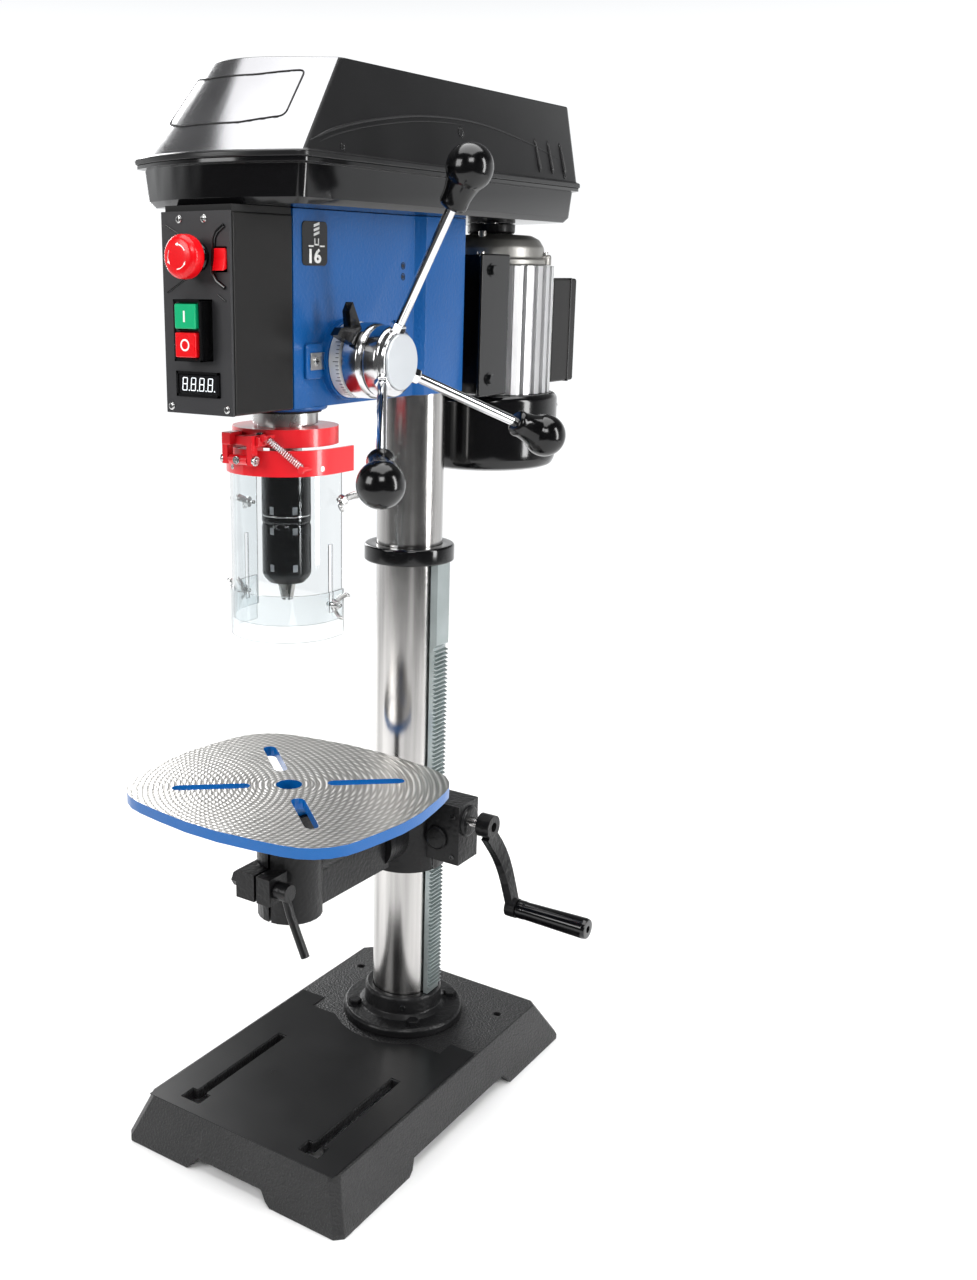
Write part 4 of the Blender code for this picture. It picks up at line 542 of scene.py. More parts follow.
# %% The foot and its milled pad
foot_enamel = finish("foot enamel", (0.004, 0.004, 0.0045), (0.014, 0.014, 0.0145), 0.4, skin=420,
                     strength=1.0,
                     depth=0.0012, coat=0.03, spread=0.26, specular=0.42)
refined("base", foot_enamel, "frame", 1.4 * MM)


def flat_with_holes(name, outline, holes, low, high, finish, body):
    """A flat piece between two heights: a filled curve, so that each inner outline becomes a hole."""
    curve = bpy.data.curves.new(name, "CURVE")
    curve.dimensions = "2D"
    curve.fill_mode = "BOTH"
    curve.extrude = (high - low) / 2 * MM
    for ring in [outline] + holes:
        line = curve.splines.new("POLY")
        line.points.add(len(ring) - 1)
        line.use_cyclic_u = True
        for point, (x, y) in zip(line.points, ring):
            point.co = (x * MM, y * MM, 0, 1)
    data = mesh_from(curve, Matrix.Translation(Vector(at(0, 0, (low + high) / 2))))
    return hang(add_object(name, data), finish, body)


foot_top = float(corners("base")[1][2]) / MM
clear = np.radians(np.linspace(228, 312, 24))
arc_points = [(80 * math.cos(a), 80 * math.sin(a)) for a in clear]
pad = ([(-119, -36), (-88, -36), (-88, -59), (-56, -59)] + arc_points
       + [(56, -59), (88, -59), (88, -36), (119, -36), (119, -301), (-119, -301)])
holes = [[(side * 77 + x, y) for x, y in ((-6, -129), (-6, -266.5), (-12.5, -266.5), (-12.5, -285.5),
                                          (12.5, -285.5),
                                           (12.5, -266.5), (6, -266.5), (6, -129))] for side in (-1, 1)]
flat_with_holes("foot_pad", pad, holes, foot_top - 0.3, foot_top + 0.7, milled_black, "frame")

# %% The column, its flange and the ring that holds the rack
low, high = corners("column")
radius = (high[0] - low[0]) / 2
tube_profile = [(radius - 3.5 * MM, low[2]), (radius, low[2]), (radius, high[2]),
                (radius - 3.5 * MM, high[2])]
# The column tube's vertical streaks are painted reflection in its colour.
make("column_tube", [turned(tube_profile, (COLUMN[0], COLUMN[1], 0), steps=128, ring=True)], polished,
     "frame",
     "column", angle=40)
about_column = turner((COLUMN[0], COLUMN[1], 0), (0, 0, 1), 1.2)
flange = [about_column([(35.4, 53), (69, 53), (69, 61), (66.5, 64), (50, 64.8), (44.5, 69), (44, 86),
                        (42, 89),
                        (35.4, 89)])]
for k in range(4):
    angle = math.radians(45 + 90 * k)
    flange += hex_head(at(56.5 * math.cos(angle), 56.5 * math.sin(angle), 64), (0, 0, 1), 7.5 * MM, 6 * MM)
make("flange_casting", flange, black_enamel, "frame", "column_flange")
make("flange_set_screw", [socket_screw(at(24, -37.5, 77), (0.54, -0.84, 0), 3.6 * MM, 0.3 * MM)], dark_steel,
     "frame")
ring = about_column([(46, 590), (48, 591), (48, 606.5), (46.5, 608), (35.4, 608), (35.4, 594.4),
                     (45.9, 594.4)])
make("rack_ring_casting", [ring], gloss_black, "frame", "rack_ring")
make("rack_ring_screw", [socket_screw(at(27, -39.2, 599), (0.57, -0.82, 0), 3.2 * MM, 0.4 * MM)], dark_steel,
     "frame")
refined("rack", zinc, "rack_unit", 0.25 * MM)

# %% [markdown]
# ## The table and what carries it
#
# The table is a square with bulging sides. Its top shows small bright tiles on arcs, which two
# sets of milling rings leave where they cross, and its rim is painted blue. One mesh holds both
# finishes: each face picks its finish by where it lies. The castings below are rough and black.

# %% Milled steel with rings
def milled_finish():
    """Tone and relief = rings about the bore * rings about a far corner: small bright tiles on arcs."""
    made = finish("milled table top", (0.30, 0.29, 0.275), (0.46, 0.45, 0.43), 0.34, 1.0, spread=0.14,
                  drift=22)
    tree = made.node_tree
    shader = tree.nodes["Principled BSDF"]
    place = add_node(tree, "TexCoord").outputs["Object"]
    tiles = add_node(tree, "Math", operation="MULTIPLY")
    for k, (offset, scale) in enumerate((((0, 0, 0), 62), ((0.11, 0.09, 0), 48))):
        shift = tuple(np.array(offset) - middle("table") * (1, 1, 0))
        centred = add_node(tree, "Mapping", {"Location": shift})
        rings = add_node(tree, "TexWave", {"Scale": scale, "Distortion": 0.3}, wave_type="RINGS",
                         rings_direction="Z")
        connect(tree, (place, centred.inputs["Vector"]), (centred.outputs[0], rings.inputs["Vector"]),
                (rings.outputs["Fac"], tiles.inputs[k]))
    tone = next(node for node in tree.nodes if node.type == "GROUP" and node.node_tree == TONE)
    shade = add_node(tree, "Mix", {7: (0.78, 0.77, 0.75, 1)}, data_type="RGBA")
    bump = add_node(tree, "Bump", {"Strength": 0.5, "Distance": 0.0006})
    connect(tree, (tiles.outputs[0], shade.inputs["Factor"]), (tone.outputs["Colour"], shade.inputs[6]),
            (shade.outputs[2], shader.inputs["Base Color"]), (tiles.outputs[0], bump.inputs["Height"]),
            (bump.outputs["Normal"], shader.inputs["Normal"]))
    return made


milled_top = milled_finish()
table_fine = refined("table", blue_rim, "table_unit", 1.3 * MM)
paint_by(table_fine, milled_top, lambda c, n: n.z > 0.9 and c.z > table_high[2] - 0.2 * MM)
paint_by(table_fine, cast_black, lambda c, n: n.z < -0.5 or c.z < table_low[2] + 60 * MM)

# %% The sleeve, the arm, the gear and the crank
refine_all(("table_support", black_enamel, "support", 3.5), ("height_gear", machined, "gear", 0.2),
           ("worm_shaft", machined, "crank", 0.0), ("crank_arm", black_enamel, "crank", 1.6),
           ("support_lock_lever", cast_black, "support_lock", 1.0), ("table_arm", black_enamel, "arm", 1.4),
           ("table_clamp_lever", cast_black, "arm_clamp", 1.0))

low, high = corners("crank_grip")
pin = np.array([low[0], (low[1] + high[1]) / 2, (low[2] + high[2]) / 2])
grip = eased([(3.6, 0), (9.6, 0), (10.4, 1.5), (10.4, 8), (10.0, 10), (11.0, 55), (11.5, 80), (10.6, 83.8),
              (3.6, 84), (3.6, 0), (9.6, 0)], 0.8)[1:-1]
make("crank_handle", [turned(grip * MM, pin, (1, 0, 0), 48, ring=True)], gloss_black, "grip", "crank_grip")
make("crank_handle_collar", [turned(np.array([(0, -1.5), (7.5, -1.5), (7.5, 0.4), (0, 0.4)]) * MM, pin,
                                    (1, 0, 0), 32)],
     screw_steel, "crank")
worm_axis = middle("worm_shaft")
boss = eased([(0, -14), (17.5, -14), (17.5, 1.5), (15, 3.6), (9, 3.8), (0, 3.8)], 1.4) * MM
gear_place = middle("height_gear")
bearing = eased([(0, -3), (13, -3), (13, 3.2), (11, 4.6), (0, 4.6)], 0.8) * MM
face_x = COLUMN[0] + 82 * MM
make("gearbox_bosses", [turned(boss, (face_x, worm_axis[1], worm_axis[2]), (1, 0, 0), 48),
                        turned(bearing, (gear_place[0], COLUMN[1] - 20 * MM, gear_place[2]), (0, -1, 0), 48)],
     black_enamel, "support")
make("gearbox_screws", [socket_screw((COLUMN[0] + x * MM, COLUMN[1] - 20 * MM, z * MM), (0, -1, 0), 3.2 * MM,
                                     0.8 * MM)
                        for x, z in ((74, 270), (74, 318))], dark_steel, "support")
print("table, sleeve and crank done")


# %% [markdown]
# ## The head
#
# The head is a cast box in blue hammered enamel. What tells it apart from a block is small: the
# screws, the plugged holes, the pointer for the depth scale and the black plate with a drill on
# it. Each is its own little shape set on the head's right side.

# %% Head casting and its fittings
refined("head_casting", blue_enamel, "frame", 2.2 * MM)
side_x = 37.0  # millimetres from the column axis to the head's right face


def side_disc(y, z, radius, proud, x=side_x):
    """A short turned button on the head's right side."""
    profile = eased([(0, -1), (radius, -1), (radius, proud), (0, proud)], 0.5)
    return turned(profile * MM, at(x, y, z), (1, 0, 0), 32)


def dished_screw(y, z, radius, x=side_x, direction=(1, 0, 0)):
    """A grub screw down its hole: a rim ring with a socket inside."""
    profile = np.array([(radius, -0.6), (radius, 0.35), (radius * 0.8, 0.35), (radius * 0.7, -0.3),
                        (radius * 0.45, -0.3), (radius * 0.35, -0.8), (0, -0.8)]) * MM
    return turned(profile, at(x, y, z), direction, 24)


def flat_plate(outline_yz, x, thick, radius=2.0):
    """A plate on the head's side with round corners, from (y, z) corners in millimetres."""
    outline = round_corners(outline_yz, radius)
    points = np.stack([COLUMN[1] + outline[:, 0] * MM, outline[:, 1] * MM], -1)
    return prism(points, COLUMN[0] + (x - 0.5) * MM, COLUMN[0] + (x + thick) * MM, axis=0)


def round_corners(outline, radius, steps=6):
    """Each corner of a closed outline becomes a quadratic curve of the given reach."""
    p = np.array(outline, float)
    t = np.linspace(0, 1, steps + 1)[:, None]
    out = []
    for before, corner, after in zip(np.roll(p, 1, 0), p, np.roll(p, -1, 0)):
        back = (before - corner) / np.linalg.norm(before - corner)
        ahead = (after - corner) / np.linalg.norm(after - corner)
        out.append((1 - t) ** 2 * (corner + back * radius) + 2 * t * (1 - t) * corner
                   + t ** 2 * (corner + ahead * radius))
    return np.vstack(out)


make("size_plate", [flat_plate([(-233, 890), (-197, 890), (-197, 927), (-233, 927)], side_x, 0.8, 5)],
     gloss_black,
     "frame", bevel=0.3 * MM)

# %% The drill drawn on the plate, and its plain number
sign = []
for k in range(3):
    z = 924.0 - 3.7 * k
    sign.append(flat_plate([(-217.0, z - 1.9), (-209.0, z + 0.3), (-209.0, z + 2.6), (-217.0, z + 0.4)],
                           side_x + 0.6, 0.5, 0.3))
for y, z, half_y, half_z in ((-215.6, 910.4, 0.6, 2.6), (-210.4, 910.4, 0.6, 2.6), (-213, 907.6, 3.2, 0.6),
                             (-221, 906.4, 3.4, 0.6), (-205, 906.4, 3.4, 0.6)):
    sign.append(flat_plate([(y - half_y, z - half_z), (y + half_y, z - half_z), (y + half_y, z + half_z),
                            (y - half_y, z + half_z)], side_x + 0.6, 0.5, 0.1))


def lettering(text, size, height, place, turn, finish, body, name, bold=0.0, wide=1.0):
    """A word made a mesh: the flat font curve is filled, given its height, turned and set in place."""
    curve = bpy.data.curves.new(name, "FONT")
    curve.body = text
    curve.size = size
    curve.extrude = height
    curve.align_x = "CENTER"
    curve.align_y = "CENTER"
    curve.resolution_u = 3
    curve.offset = bold
    data = mesh_from(curve, Matrix.Translation(Vector(place)) @ turn @ Matrix.Diagonal((wide, 1, 1, 1)))
    return hang(add_object(name, data), finish, body)


FACING_RIGHT = Matrix.Rotation(math.radians(90), 4, "Z") @ Matrix.Rotation(math.radians(90), 4, "X")
make("size_plate_drill", sign, white_mark, "frame")
lettering("16", 16 * MM, 0.5 * MM, at(side_x + 0.8, -217, 897.4), FACING_RIGHT, white_mark, "frame",
          "size_plate_number",
          bold=0.45 * MM, wide=1.3)

# %% Screws, plugs and the depth pointer
BACK_X = 45.0  # the wider rear part of the head
plugs = [dished_screw(-75, z, 3.4) for z in (891, 881)]
plugs += [dished_screw(3, z, 3.2, BACK_X) for z in (883, 864, 850)]
make("head_grub_screws", plugs, dark_steel, "frame")
make("head_grub_screw_shadows", [side_disc(-75, z, 2.2, 0.05) for z in (891, 881)],
     marking_and_painted_shade, "frame")
pad = flat_plate([(-231, 793), (-206, 793), (-206, 824), (-231, 824)], side_x, 3.0, 4)
make("pointer_pad", [pad], blue_enamel, "frame", bevel=1.2 * MM)
pointer = flat_plate([(-226, 801), (-203, 801), (-203, 816), (-226, 816)], side_x + 3.0, 1.0, 1.5)
make("pointer_plate", [pointer], machined, "frame", bevel=0.3 * MM)
screw = [side_disc(-218, 808.5, 4.2, 1.6, side_x + 4)]
cross = [flat_plate([(-220.4, 807.9), (-215.6, 807.9), (-215.6, 809.1), (-220.4, 809.1)], side_x + 5.2, 0.5,
                    0.2),
         flat_plate([(-218.6, 806.1), (-217.4, 806.1), (-217.4, 810.9), (-218.6, 810.9)], side_x + 5.2, 0.5,
                    0.2)]
make("pointer_screw", screw, screw_steel, "frame")
# The black cross is painted shade of the screw's cross recess; the screw head itself is flat.
make("pointer_screw_cross", cross, marking_and_painted_shade, "frame")

# %% [markdown]
# ## The feed hub, its levers and knobs
#
# Everything that turns with the feed shaft is turned work, so each piece is a profile swept
# round the shaft. The knobs are pears: a ball that runs into a waisted neck. The scale ring is
# white with a tick at every few degrees, cut by repeating one small block round it.

# %% The turned pieces on the feed shaft
about_feed = turner((COLUMN[0], FEED[1], FEED[2]), (1, 0, 0), 1.0)
refined("feed_shaft", machined, "feed_unit", 0.2 * MM)
make("scale_ring", [about_feed([(12.4, 44.4), (34, 44.4), (34, 55.6), (12.4, 55.6)])], scale_white,
     "depth_stop",
     "depth_ring")
make("stop_ring", [about_feed([(12.4, 55.7), (31.5, 55.7), (31.5, 57), (33.6, 58), (33.6, 74), (31.5, 77.6),
                               (12.4, 77.6)], 1.4)], hub_chrome, "depth_stop")
ticks = []
for k in range(60):
    angle = TAU * k / 60
    spoke = np.array([0, math.cos(angle), math.sin(angle)])
    side = np.array([0, -math.sin(angle), math.cos(angle)])
    reach = 6.0 if k % 5 == 0 else 3.2
    foot = np.array([COLUMN[0] + 55.4 * MM, FEED[1], FEED[2]])
    corner = [foot + spoke * r * MM + side * s * MM - np.array([d * MM, 0, 0])
              for d in (0, reach) for r, s in ((33.7, -0.3), (34.12, -0.3), (34.12, 0.3), (33.7, 0.3))]
    ticks.append(grid(np.array(corner).reshape(2, 4, 3)))
make("scale_ticks", ticks, marking_and_painted_shade, "depth_stop")
refined("depth_lock_knob", knob_black, "depth_lock", 1.6 * MM)
hub_profile = [(8.4, 45.5), (12, 45.5), (12, 78.4), (30.6, 78.4), (31.5, 80), (31.5, 92), (30.2, 94.6),
               (27.6, 96.4), (25.8, 99), (8.4, 99)]
make("hub_turned", [about_feed(hub_profile, 0.9)], hub_chrome, "feed_unit", "feed_hub")
cap = [(0, 99.3), (24.4, 99.3), (24.8, 100.2), (23.8, 101.8), (0, 101.8)]
make("hub_cap_disc", [about_feed(cap, 0.6, closed=False)], cap_metal, "feed_unit", "hub_cap")

# %% Levers with their lock nuts, and the pear knobs
LEAN = math.radians(29.5)
FIRST = math.radians(3)
KNOB_AT = 184.0
KNOB_R = 20
ball = np.radians(np.linspace(-40, 88, 30))
ball = np.stack([KNOB_R * np.cos(ball), KNOB_AT + KNOB_R * np.sin(ball)], -1)
neck = smooth_path(np.array([(10.2, 148.6), (12.2, 151.5), (12.2, 157), (12.8, 162), (14.0, 167),
                             tuple(ball[0])]), 26)
pear = np.vstack([[(4.9, 148), (9.0, 148)], neck[:-1], ball, [(0, KNOB_AT + KNOB_R)]])
root = np.array([COLUMN[0] + 80 * MM, FEED[1], FEED[2]])
for k in range(3):
    turn = FIRST - TAU * k / 3
    ahead = np.array([math.sin(LEAN), -math.cos(LEAN) * math.sin(turn), math.cos(LEAN) * math.cos(turn)])
    rod = eased([(0, 15), (4.6, 15), (4.6, 172), (0, 172)], 0.6) * MM
    make(f"lever_rod_{k + 1}", [turned(rod, root, ahead, 40)], chrome, "feed_unit", f"feed_lever_{k + 1}")
    nut = [(0, 30), (7.4, 30), (7.4, 37), (6.2, 38.5), (0, 38.5)]
    make(f"lever_nut_{k + 1}", [turned(np.array(nut) * MM, root, ahead, 6)], chrome, "feed_unit",
         bevel=0.4 * MM)
    make(f"pear_knob_{k + 1}", [turned(pear * MM, root, ahead, 72)], knob_black, "feed_unit",
         f"lever_knob_{k + 1}",
         angle=50)
spring_case = [(0, -44.6), (30, -44.6), (30, -63), (27, -67.3), (8, -67.3), (7, -66), (0, -66)]
make("spring_case", [about_feed(spring_case, 1.5, closed=False)], knob_black, "frame", "return_spring_case")

# %% [markdown]
# ## The control box
#
# The box is a moulded cover with a textured front plate. The plate is dressed with raised lines
# that frame the controls, four screws, the mushroom stop, the two keys, a rocker and a small
# lit speed display. The digits are seven thin bars each, as in a real display.

# %% Box, plate, housing and keys
refine_all(("control_box", box_black, "frame", 2.4),
           ("control_panel", panel_grey, "frame", 1.0),
           ("switch_housing", gloss_black, "frame", 1.2),
           ("start_button", green_plastic, "start", 1.2),
           ("stop_button", red_plastic, "stop", 1.2),
           ("rocker_switch", red_plastic, "rocker", 0.6),
           ("speed_display", display_glass, "frame", 0.3))
FRONT = -328.0  # the control panel's front face, in millimetres from the column axis


def front_plate(outline_xz, y, thick, radius=0.4):
    """A thin plate standing out of the control box front, from (x, z) corners in millimetres."""
    outline = round_corners(outline_xz, radius, 4)
    points = np.stack([COLUMN[0] + outline[:, 0] * MM, outline[:, 1] * MM], -1)
    return prism(points, COLUMN[1] + (y - thick) * MM, COLUMN[1] + (y + 0.3) * MM, axis=1)


def front_strip(points, half=0.8, y=FRONT, proud=0.7):
    """A raised line over the panel: a flattened tube through (x, z) points in millimetres."""
    path = np.array([at(x, y - proud / 2, z) for x, z in points])
    return tube(path, half * MM, 10, 1.0, (0, 1, 0))


def front_frame(low_x, low_z, high_x, high_z, thick, proud, y):
    """Four bars round an opening."""
    bars = [((low_x, high_z - thick), (high_x, high_z)), ((low_x, low_z), (high_x, low_z + thick)),
            ((low_x, low_z), (low_x + thick, high_z)), ((high_x - thick, low_z), (high_x, high_z))]
    return [front_plate([(a[0], a[1]), (b[0], a[1]), (b[0], b[1]), (a[0], b[1])], y, proud, 0.3) for a,
            b in bars]


ribs = [front_strip([(32, 920.5), (24.5, 915.7), (21.2, 910.7), (18.9, 883.7), (23.3, 876.9), (32, 871.5)],
                    1.7,
                    proud=1.8),
        front_strip([(-32, 921.5), (-18, 914.7), (-13, 911)], 0.7, proud=0.6),
        front_strip([(-32, 867.4), (-14.7, 876.7), (-10, 879)], 0.7, proud=0.6),
        front_strip([(24, 866), (32, 861)], 0.7, proud=0.6)]
box_low, box_high = corners("control_box")
gasket = slab((*(box_low[:2] + MM), box_high[2] - MM), (*(box_high[:2] - MM), case_low[2] - 0.3 * MM))
make("control_box_gasket", [gasket], rubber, "frame")
make("panel_ribs", ribs, gloss_black, "frame", bevel=0.3 * MM)

# %% Screws, mushroom stop, marks on the keys and the display
corner_screws = []
crosses = []
for x, z in ((-17, 926), (10, 926), (-31, 773.5), (31, 773.5)):
    head = eased([(0, -1), (3.4, -1), (3.4, 0.8), (2.2, 1.6), (0, 1.7)], 0.4) * MM
    corner_screws.append(turned(head, at(x, FRONT, z), (0, -1, 0), 28))
    for p, q in ((2, 0.4), (0.4, 2)):
        bar = [(x - p, z - q), (x + p, z - q), (x + p, z + q), (x - p, z + q)]
        crosses.append(front_plate(bar, FRONT - 1.5, 0.3, 0.1))
make("panel_screws", corner_screws, screw_steel, "frame")
# The black crosses are painted shade of the screws' cross recesses.
make("panel_screw_crosses", crosses, marking_and_painted_shade, "frame")

low, high = corners("estop_button")
stop_at = np.array([ESTOP[0], low[1], ESTOP[2]])
mushroom = eased([(0, 0), (9, 0.1), (14.5, 1.2), (17.6, 4.6), (17.8, 13), (16.2, 15.6), (12, 17), (9, 17),
                  (9, 41), (0, 41)],
                 1.6, 5) * MM
make("stop_mushroom", [turned(mushroom, stop_at, (0, 1, 0), 96)], red_plastic, "estop", "estop_button",
     angle=50)
collar = eased([(9.6, 21.8), (10.8, 21.8), (12.0, 23.4), (12.0, 27), (9.6, 27), (9.6, 21.8), (10.8, 21.8)],
               0.6)[1:-1] * MM
# The collar is a real part; its black also stands in for the shade in the gap behind the mushroom head.
make("stop_collar", [turned(collar, stop_at, (0, 1, 0), 64, ring=True)], gloss_black, "frame")
arrows = []
for k in range(3):
    turn = TAU * k / 3 + 0.5
    span = turn + np.linspace(0, 1.25, 14)
    width = np.concatenate([np.full(10, 0.55), np.linspace(1.5, 0.05, 4)])
    path = stop_at + np.stack([9.6 * np.cos(span), np.full(14, 0.35), 9.6 * np.sin(span)], -1) * MM
    arrows.append(tube(path, width * MM, 8, 0.4, (0, 0.3, 1)))
make("stop_arrows", arrows, white_mark, "estop")

key_y = -346.0  # the front of the two keys
bar = front_plate([(2 - 0.8, 844.5), (2 + 0.8, 844.5), (2 + 0.8, 853.5), (2 - 0.8, 853.5)], key_y, 0.35, 0.2)
make("start_mark", [bar], white_mark, "start")
a = np.linspace(0, TAU, 48, endpoint=False)
loop = np.array([at(2 + 4.2 * math.cos(t), key_y - 0.05, 826 + 4.2 * math.sin(t)) for t in a])
section = np.linspace(0, TAU, 8, endpoint=False)[None, :, None]
outward = np.stack([np.cos(a), 0 * a, np.sin(a)], -1)[:, None]
torus = loop[:, None] + 0.75 * MM * (outward * np.cos(section) + np.array([0, 1, 0]) * np.sin(section) * 0.4)
make("stop_mark", [grid(torus, along=True)], white_mark, "stop")
make("switch_surround", front_frame(-13, 812.5, 17, 862.5, 1.6, 14.6, FRONT), gloss_black, "frame")

# %% Four lit digits
def lit_finish():
    """Pale bars that glow a little."""
    made = finish("lit digit", (0.75, 0.78, 0.80), (0.85, 0.88, 0.90), 0.4, skin=400, strength=0.05)
    shader = made.node_tree.nodes["Principled BSDF"]
    shader.inputs["Emission Color"].default_value = (0.8, 0.87, 0.92, 1)
    shader.inputs["Emission Strength"].default_value = 0.5
    return made


lit_digit = lit_finish()
SEGMENTS = [((-1, 2), (1, 2)), ((-1, 0), (1, 0)), ((-1, -2), (1, -2)), ((-1, 0), (-1, 2)), ((1, 0), (1, 2)),
            ((-1, -2), (-1, 0)), ((1, -2), (1, 0))]
digits = []
for k in range(4):
    cx = -14.4 + 9.4 * k
    for (ax, az), (bx, bz) in SEGMENTS:
        ends = np.array([(cx + ax * 2.4 + 0.25 * az, 793 + az * 2.6),
                         (cx + bx * 2.4 + 0.25 * bz, 793 + bz * 2.6)])
        span = (ends[1] - ends[0]) / np.linalg.norm(ends[1] - ends[0])
        ends = ends + np.array([span, -span]) * 0.4
        aside = np.array([-span[1], span[0]]) * 0.4
        tips = [ends[0] - span * 0.4, ends[0] + aside, ends[1] + aside, ends[1] + span * 0.4, ends[1] - aside,
                ends[0] - aside]
        points = np.array([(COLUMN[0] + x * MM, z * MM) for x, z in tips])
        digits.append(prism(points, COLUMN[1] + (FRONT - 1.2) * MM, COLUMN[1] + (FRONT - 0.6) * MM, axis=1))
    dot = [(cx + 4.0, 787.3), (cx + 5.1, 787.3), (cx + 5.1, 788.4), (cx + 4.0, 788.4)]
    digits.append(front_plate(dot, FRONT - 0.9, 0.3, 0.2))
make("display_digits", digits, lit_digit, "frame")
make("display_bezel", front_frame(-24, 782.5, 24, 803.5, 2.2, 1.6, FRONT), gloss_black, "frame")
print("head, feed and control box done")


# %% [markdown]
# ## Quill, spindle and chuck
#
# The keyless chuck is gripped by hand, so its black sleeves have rows of shallow pockets milled
# into them. They are cut here by formula: the radius of each point drops where a rounded window
# in angle and height says so. The pockets' floors get a bright metal tone: a painted highlight
# for the light that their flat floors catch.

# %% Quill and seal
about_spindle = turner((SPINDLE[0], SPINDLE[1], 0), (0, 0, 1), 0.8)
refined("quill", machined, "quill_unit", 0.5 * MM)
refined("spindle", machined, "spindle_unit", 0.3 * MM)
make("quill_seal", [about_spindle([(30.3, 762.2), (33.4, 762.2), (33.4, 765.5), (30.3, 765.5)], 0.8)], rubber,
     "frame")
make("quill_boss_ring", [about_spindle([(32, 764.5), (37.0, 764.5), (38.5, 766), (38.5, 768.4), (32, 768.4)],
                                       0.8)],
     blue_enamel, "frame")


# %% Pocketed chuck sleeves
def window(value, low, high, soft):
    """One between low and high, falling smoothly to zero over a soft margin."""
    rise = np.clip((value - low) / soft, 0, 1)
    fall = np.clip((high - value) / soft, 0, 1)
    return rise * rise * (3 - 2 * rise) * fall * fall * (3 - 2 * fall)


POCKETS = 6
POCKET_DEPTH = 1.3
GRIP_R = 23
UPPER_ROW = (669, 677)
LOWER_ROWS = [(650, 657.5), (615, 623)]


def pocketed(profile, rows, steps=288):
    """radius(angle, z) = profile(z) - depth * window(angle in each sector) * window(z in a row)."""
    profile = np.array(profile, float)
    a = np.linspace(0, TAU, steps, endpoint=False)
    sector = (a * POCKETS / TAU) % 1.0
    in_angle = window(sector, 0.37, 0.63, 0.03)
    in_height = np.zeros(len(profile))
    for low, high in rows:
        in_height += window(profile[:, 1], low, high, 0.6)
    in_height *= profile[:, 0] > GRIP_R - 3
    radius = profile[:, 0][:, None] - POCKET_DEPTH * in_height[:, None] * in_angle[None, :]
    points = np.stack([SPINDLE[0] + radius * np.cos(a) * MM, SPINDLE[1] + radius * np.sin(a) * MM,
                       np.broadcast_to(profile[:, 1][:, None], radius.shape) * MM], -1)
    return grid(points, along=True)


def with_levels(outer, low, high, step=0.5):
    """The outer run of a profile from high down to low, sampled finely enough for the pockets."""
    levels = np.arange(high, low, -step)
    return [(np.interp(z, outer[::-1, 1], outer[::-1, 0]), z) for z in levels]


# A bright metal tone for the pocket floors: a painted highlight for the light that their flat floors catch.
pocket_painted_highlight = finish("pocket floor painted highlight", (0.36, 0.37, 0.39), (0.50, 0.51, 0.53), 0.3, 0.9, skin=400,
                      strength=0.05)


def in_pocket(centre, normal):
    """Whether a face is a pocket's floor: just inside the sleeve's outer radius."""
    reach = math.hypot(centre.x - SPINDLE[0], centre.y - SPINDLE[1])
    outward = (normal.x * (centre.x - SPINDLE[0]) + normal.y * (centre.y - SPINDLE[1])) / reach
    floor_r = (GRIP_R - POCKET_DEPTH) * MM
    in_rows = LOWER_ROWS[1][0] * MM < centre.z < UPPER_ROW[1] * MM
    return abs(reach - floor_r) < 0.4 * MM and outward > 0.9 and in_rows


body_outer = eased(np.array([(20, 707), (22.4, 706.6), (23, 704), (23, 662), (22.4, 660.3)]), 1.0)
body_profile = [(8.3, 707)] + [tuple(p) for p in body_outer[:1]] + with_levels(body_outer, 660.4, 706.5) + [
    (22.2, 660.2), (17, 660), (17, 616), (15, 605), (10.2, 605), (13.8, 666.5), (4.2, 667), (4.2, 681), (8.3,
                                                                                                         684)]
chuck_pieces = [make("chuck_upper", [pocketed(body_profile, [UPPER_ROW])], dark_steel,
                     "spindle_unit", "chuck_body",
                     angle=40)]
sleeve_outer = eased(np.array([(22.2, 659.4), (23, 657), (23, 612), (21.6, 608.6), (18, 604.4)]), 1.2)
sleeve_profile = [(17.45, 659.6)] + with_levels(sleeve_outer, 604.8, 659.4) + [(17.45, 603.8)]
chuck_pieces.append(make("chuck_lower", [pocketed(sleeve_profile, LOWER_ROWS)],
                         dark_steel, "chuck_shell",
                         "chuck_sleeve", angle=40))
# The pocket floors get the painted highlight.
for piece in chuck_pieces:
    paint_by(piece, pocket_painted_highlight, in_pocket)
make("chuck_groove_rings", [about_spindle([(22, 666.9), (23.1, 666.9), (23.1, 668.1), (22, 668.1)], 0.3)],
     screw_steel, "spindle_unit")
for k in range(3):
    refined(f"chuck_jaw_{k + 1}", jaw_steel, "jaw_" + "abc"[k], 0.25 * MM)

# %% [markdown]
# ## The guard
#
# A red clamp ring holds a hinge, and from the hinge a red carrier holds a clear shield. The clear
# parts are a real thin wall of a glass-like plastic. Wing nuts, screws and the small tension
# spring make it read as a mechanism: the spring is a tube carried along a helix whose two ends
# are drawn in to its axis.

# %% Clear plastic and the red pieces
def clear_finish():
    """Clear moulded plastic: plain transmission, faint uneven gloss."""
    made = finish("clear shield", (0.86, 0.89, 0.90), (0.90, 0.93, 0.94), 0.03, spread=0.02)
    shader = made.node_tree.nodes["Principled BSDF"]
    shader.inputs["Transmission Weight"].default_value = 1.0
    shader.inputs["IOR"].default_value = 1.45
    return made


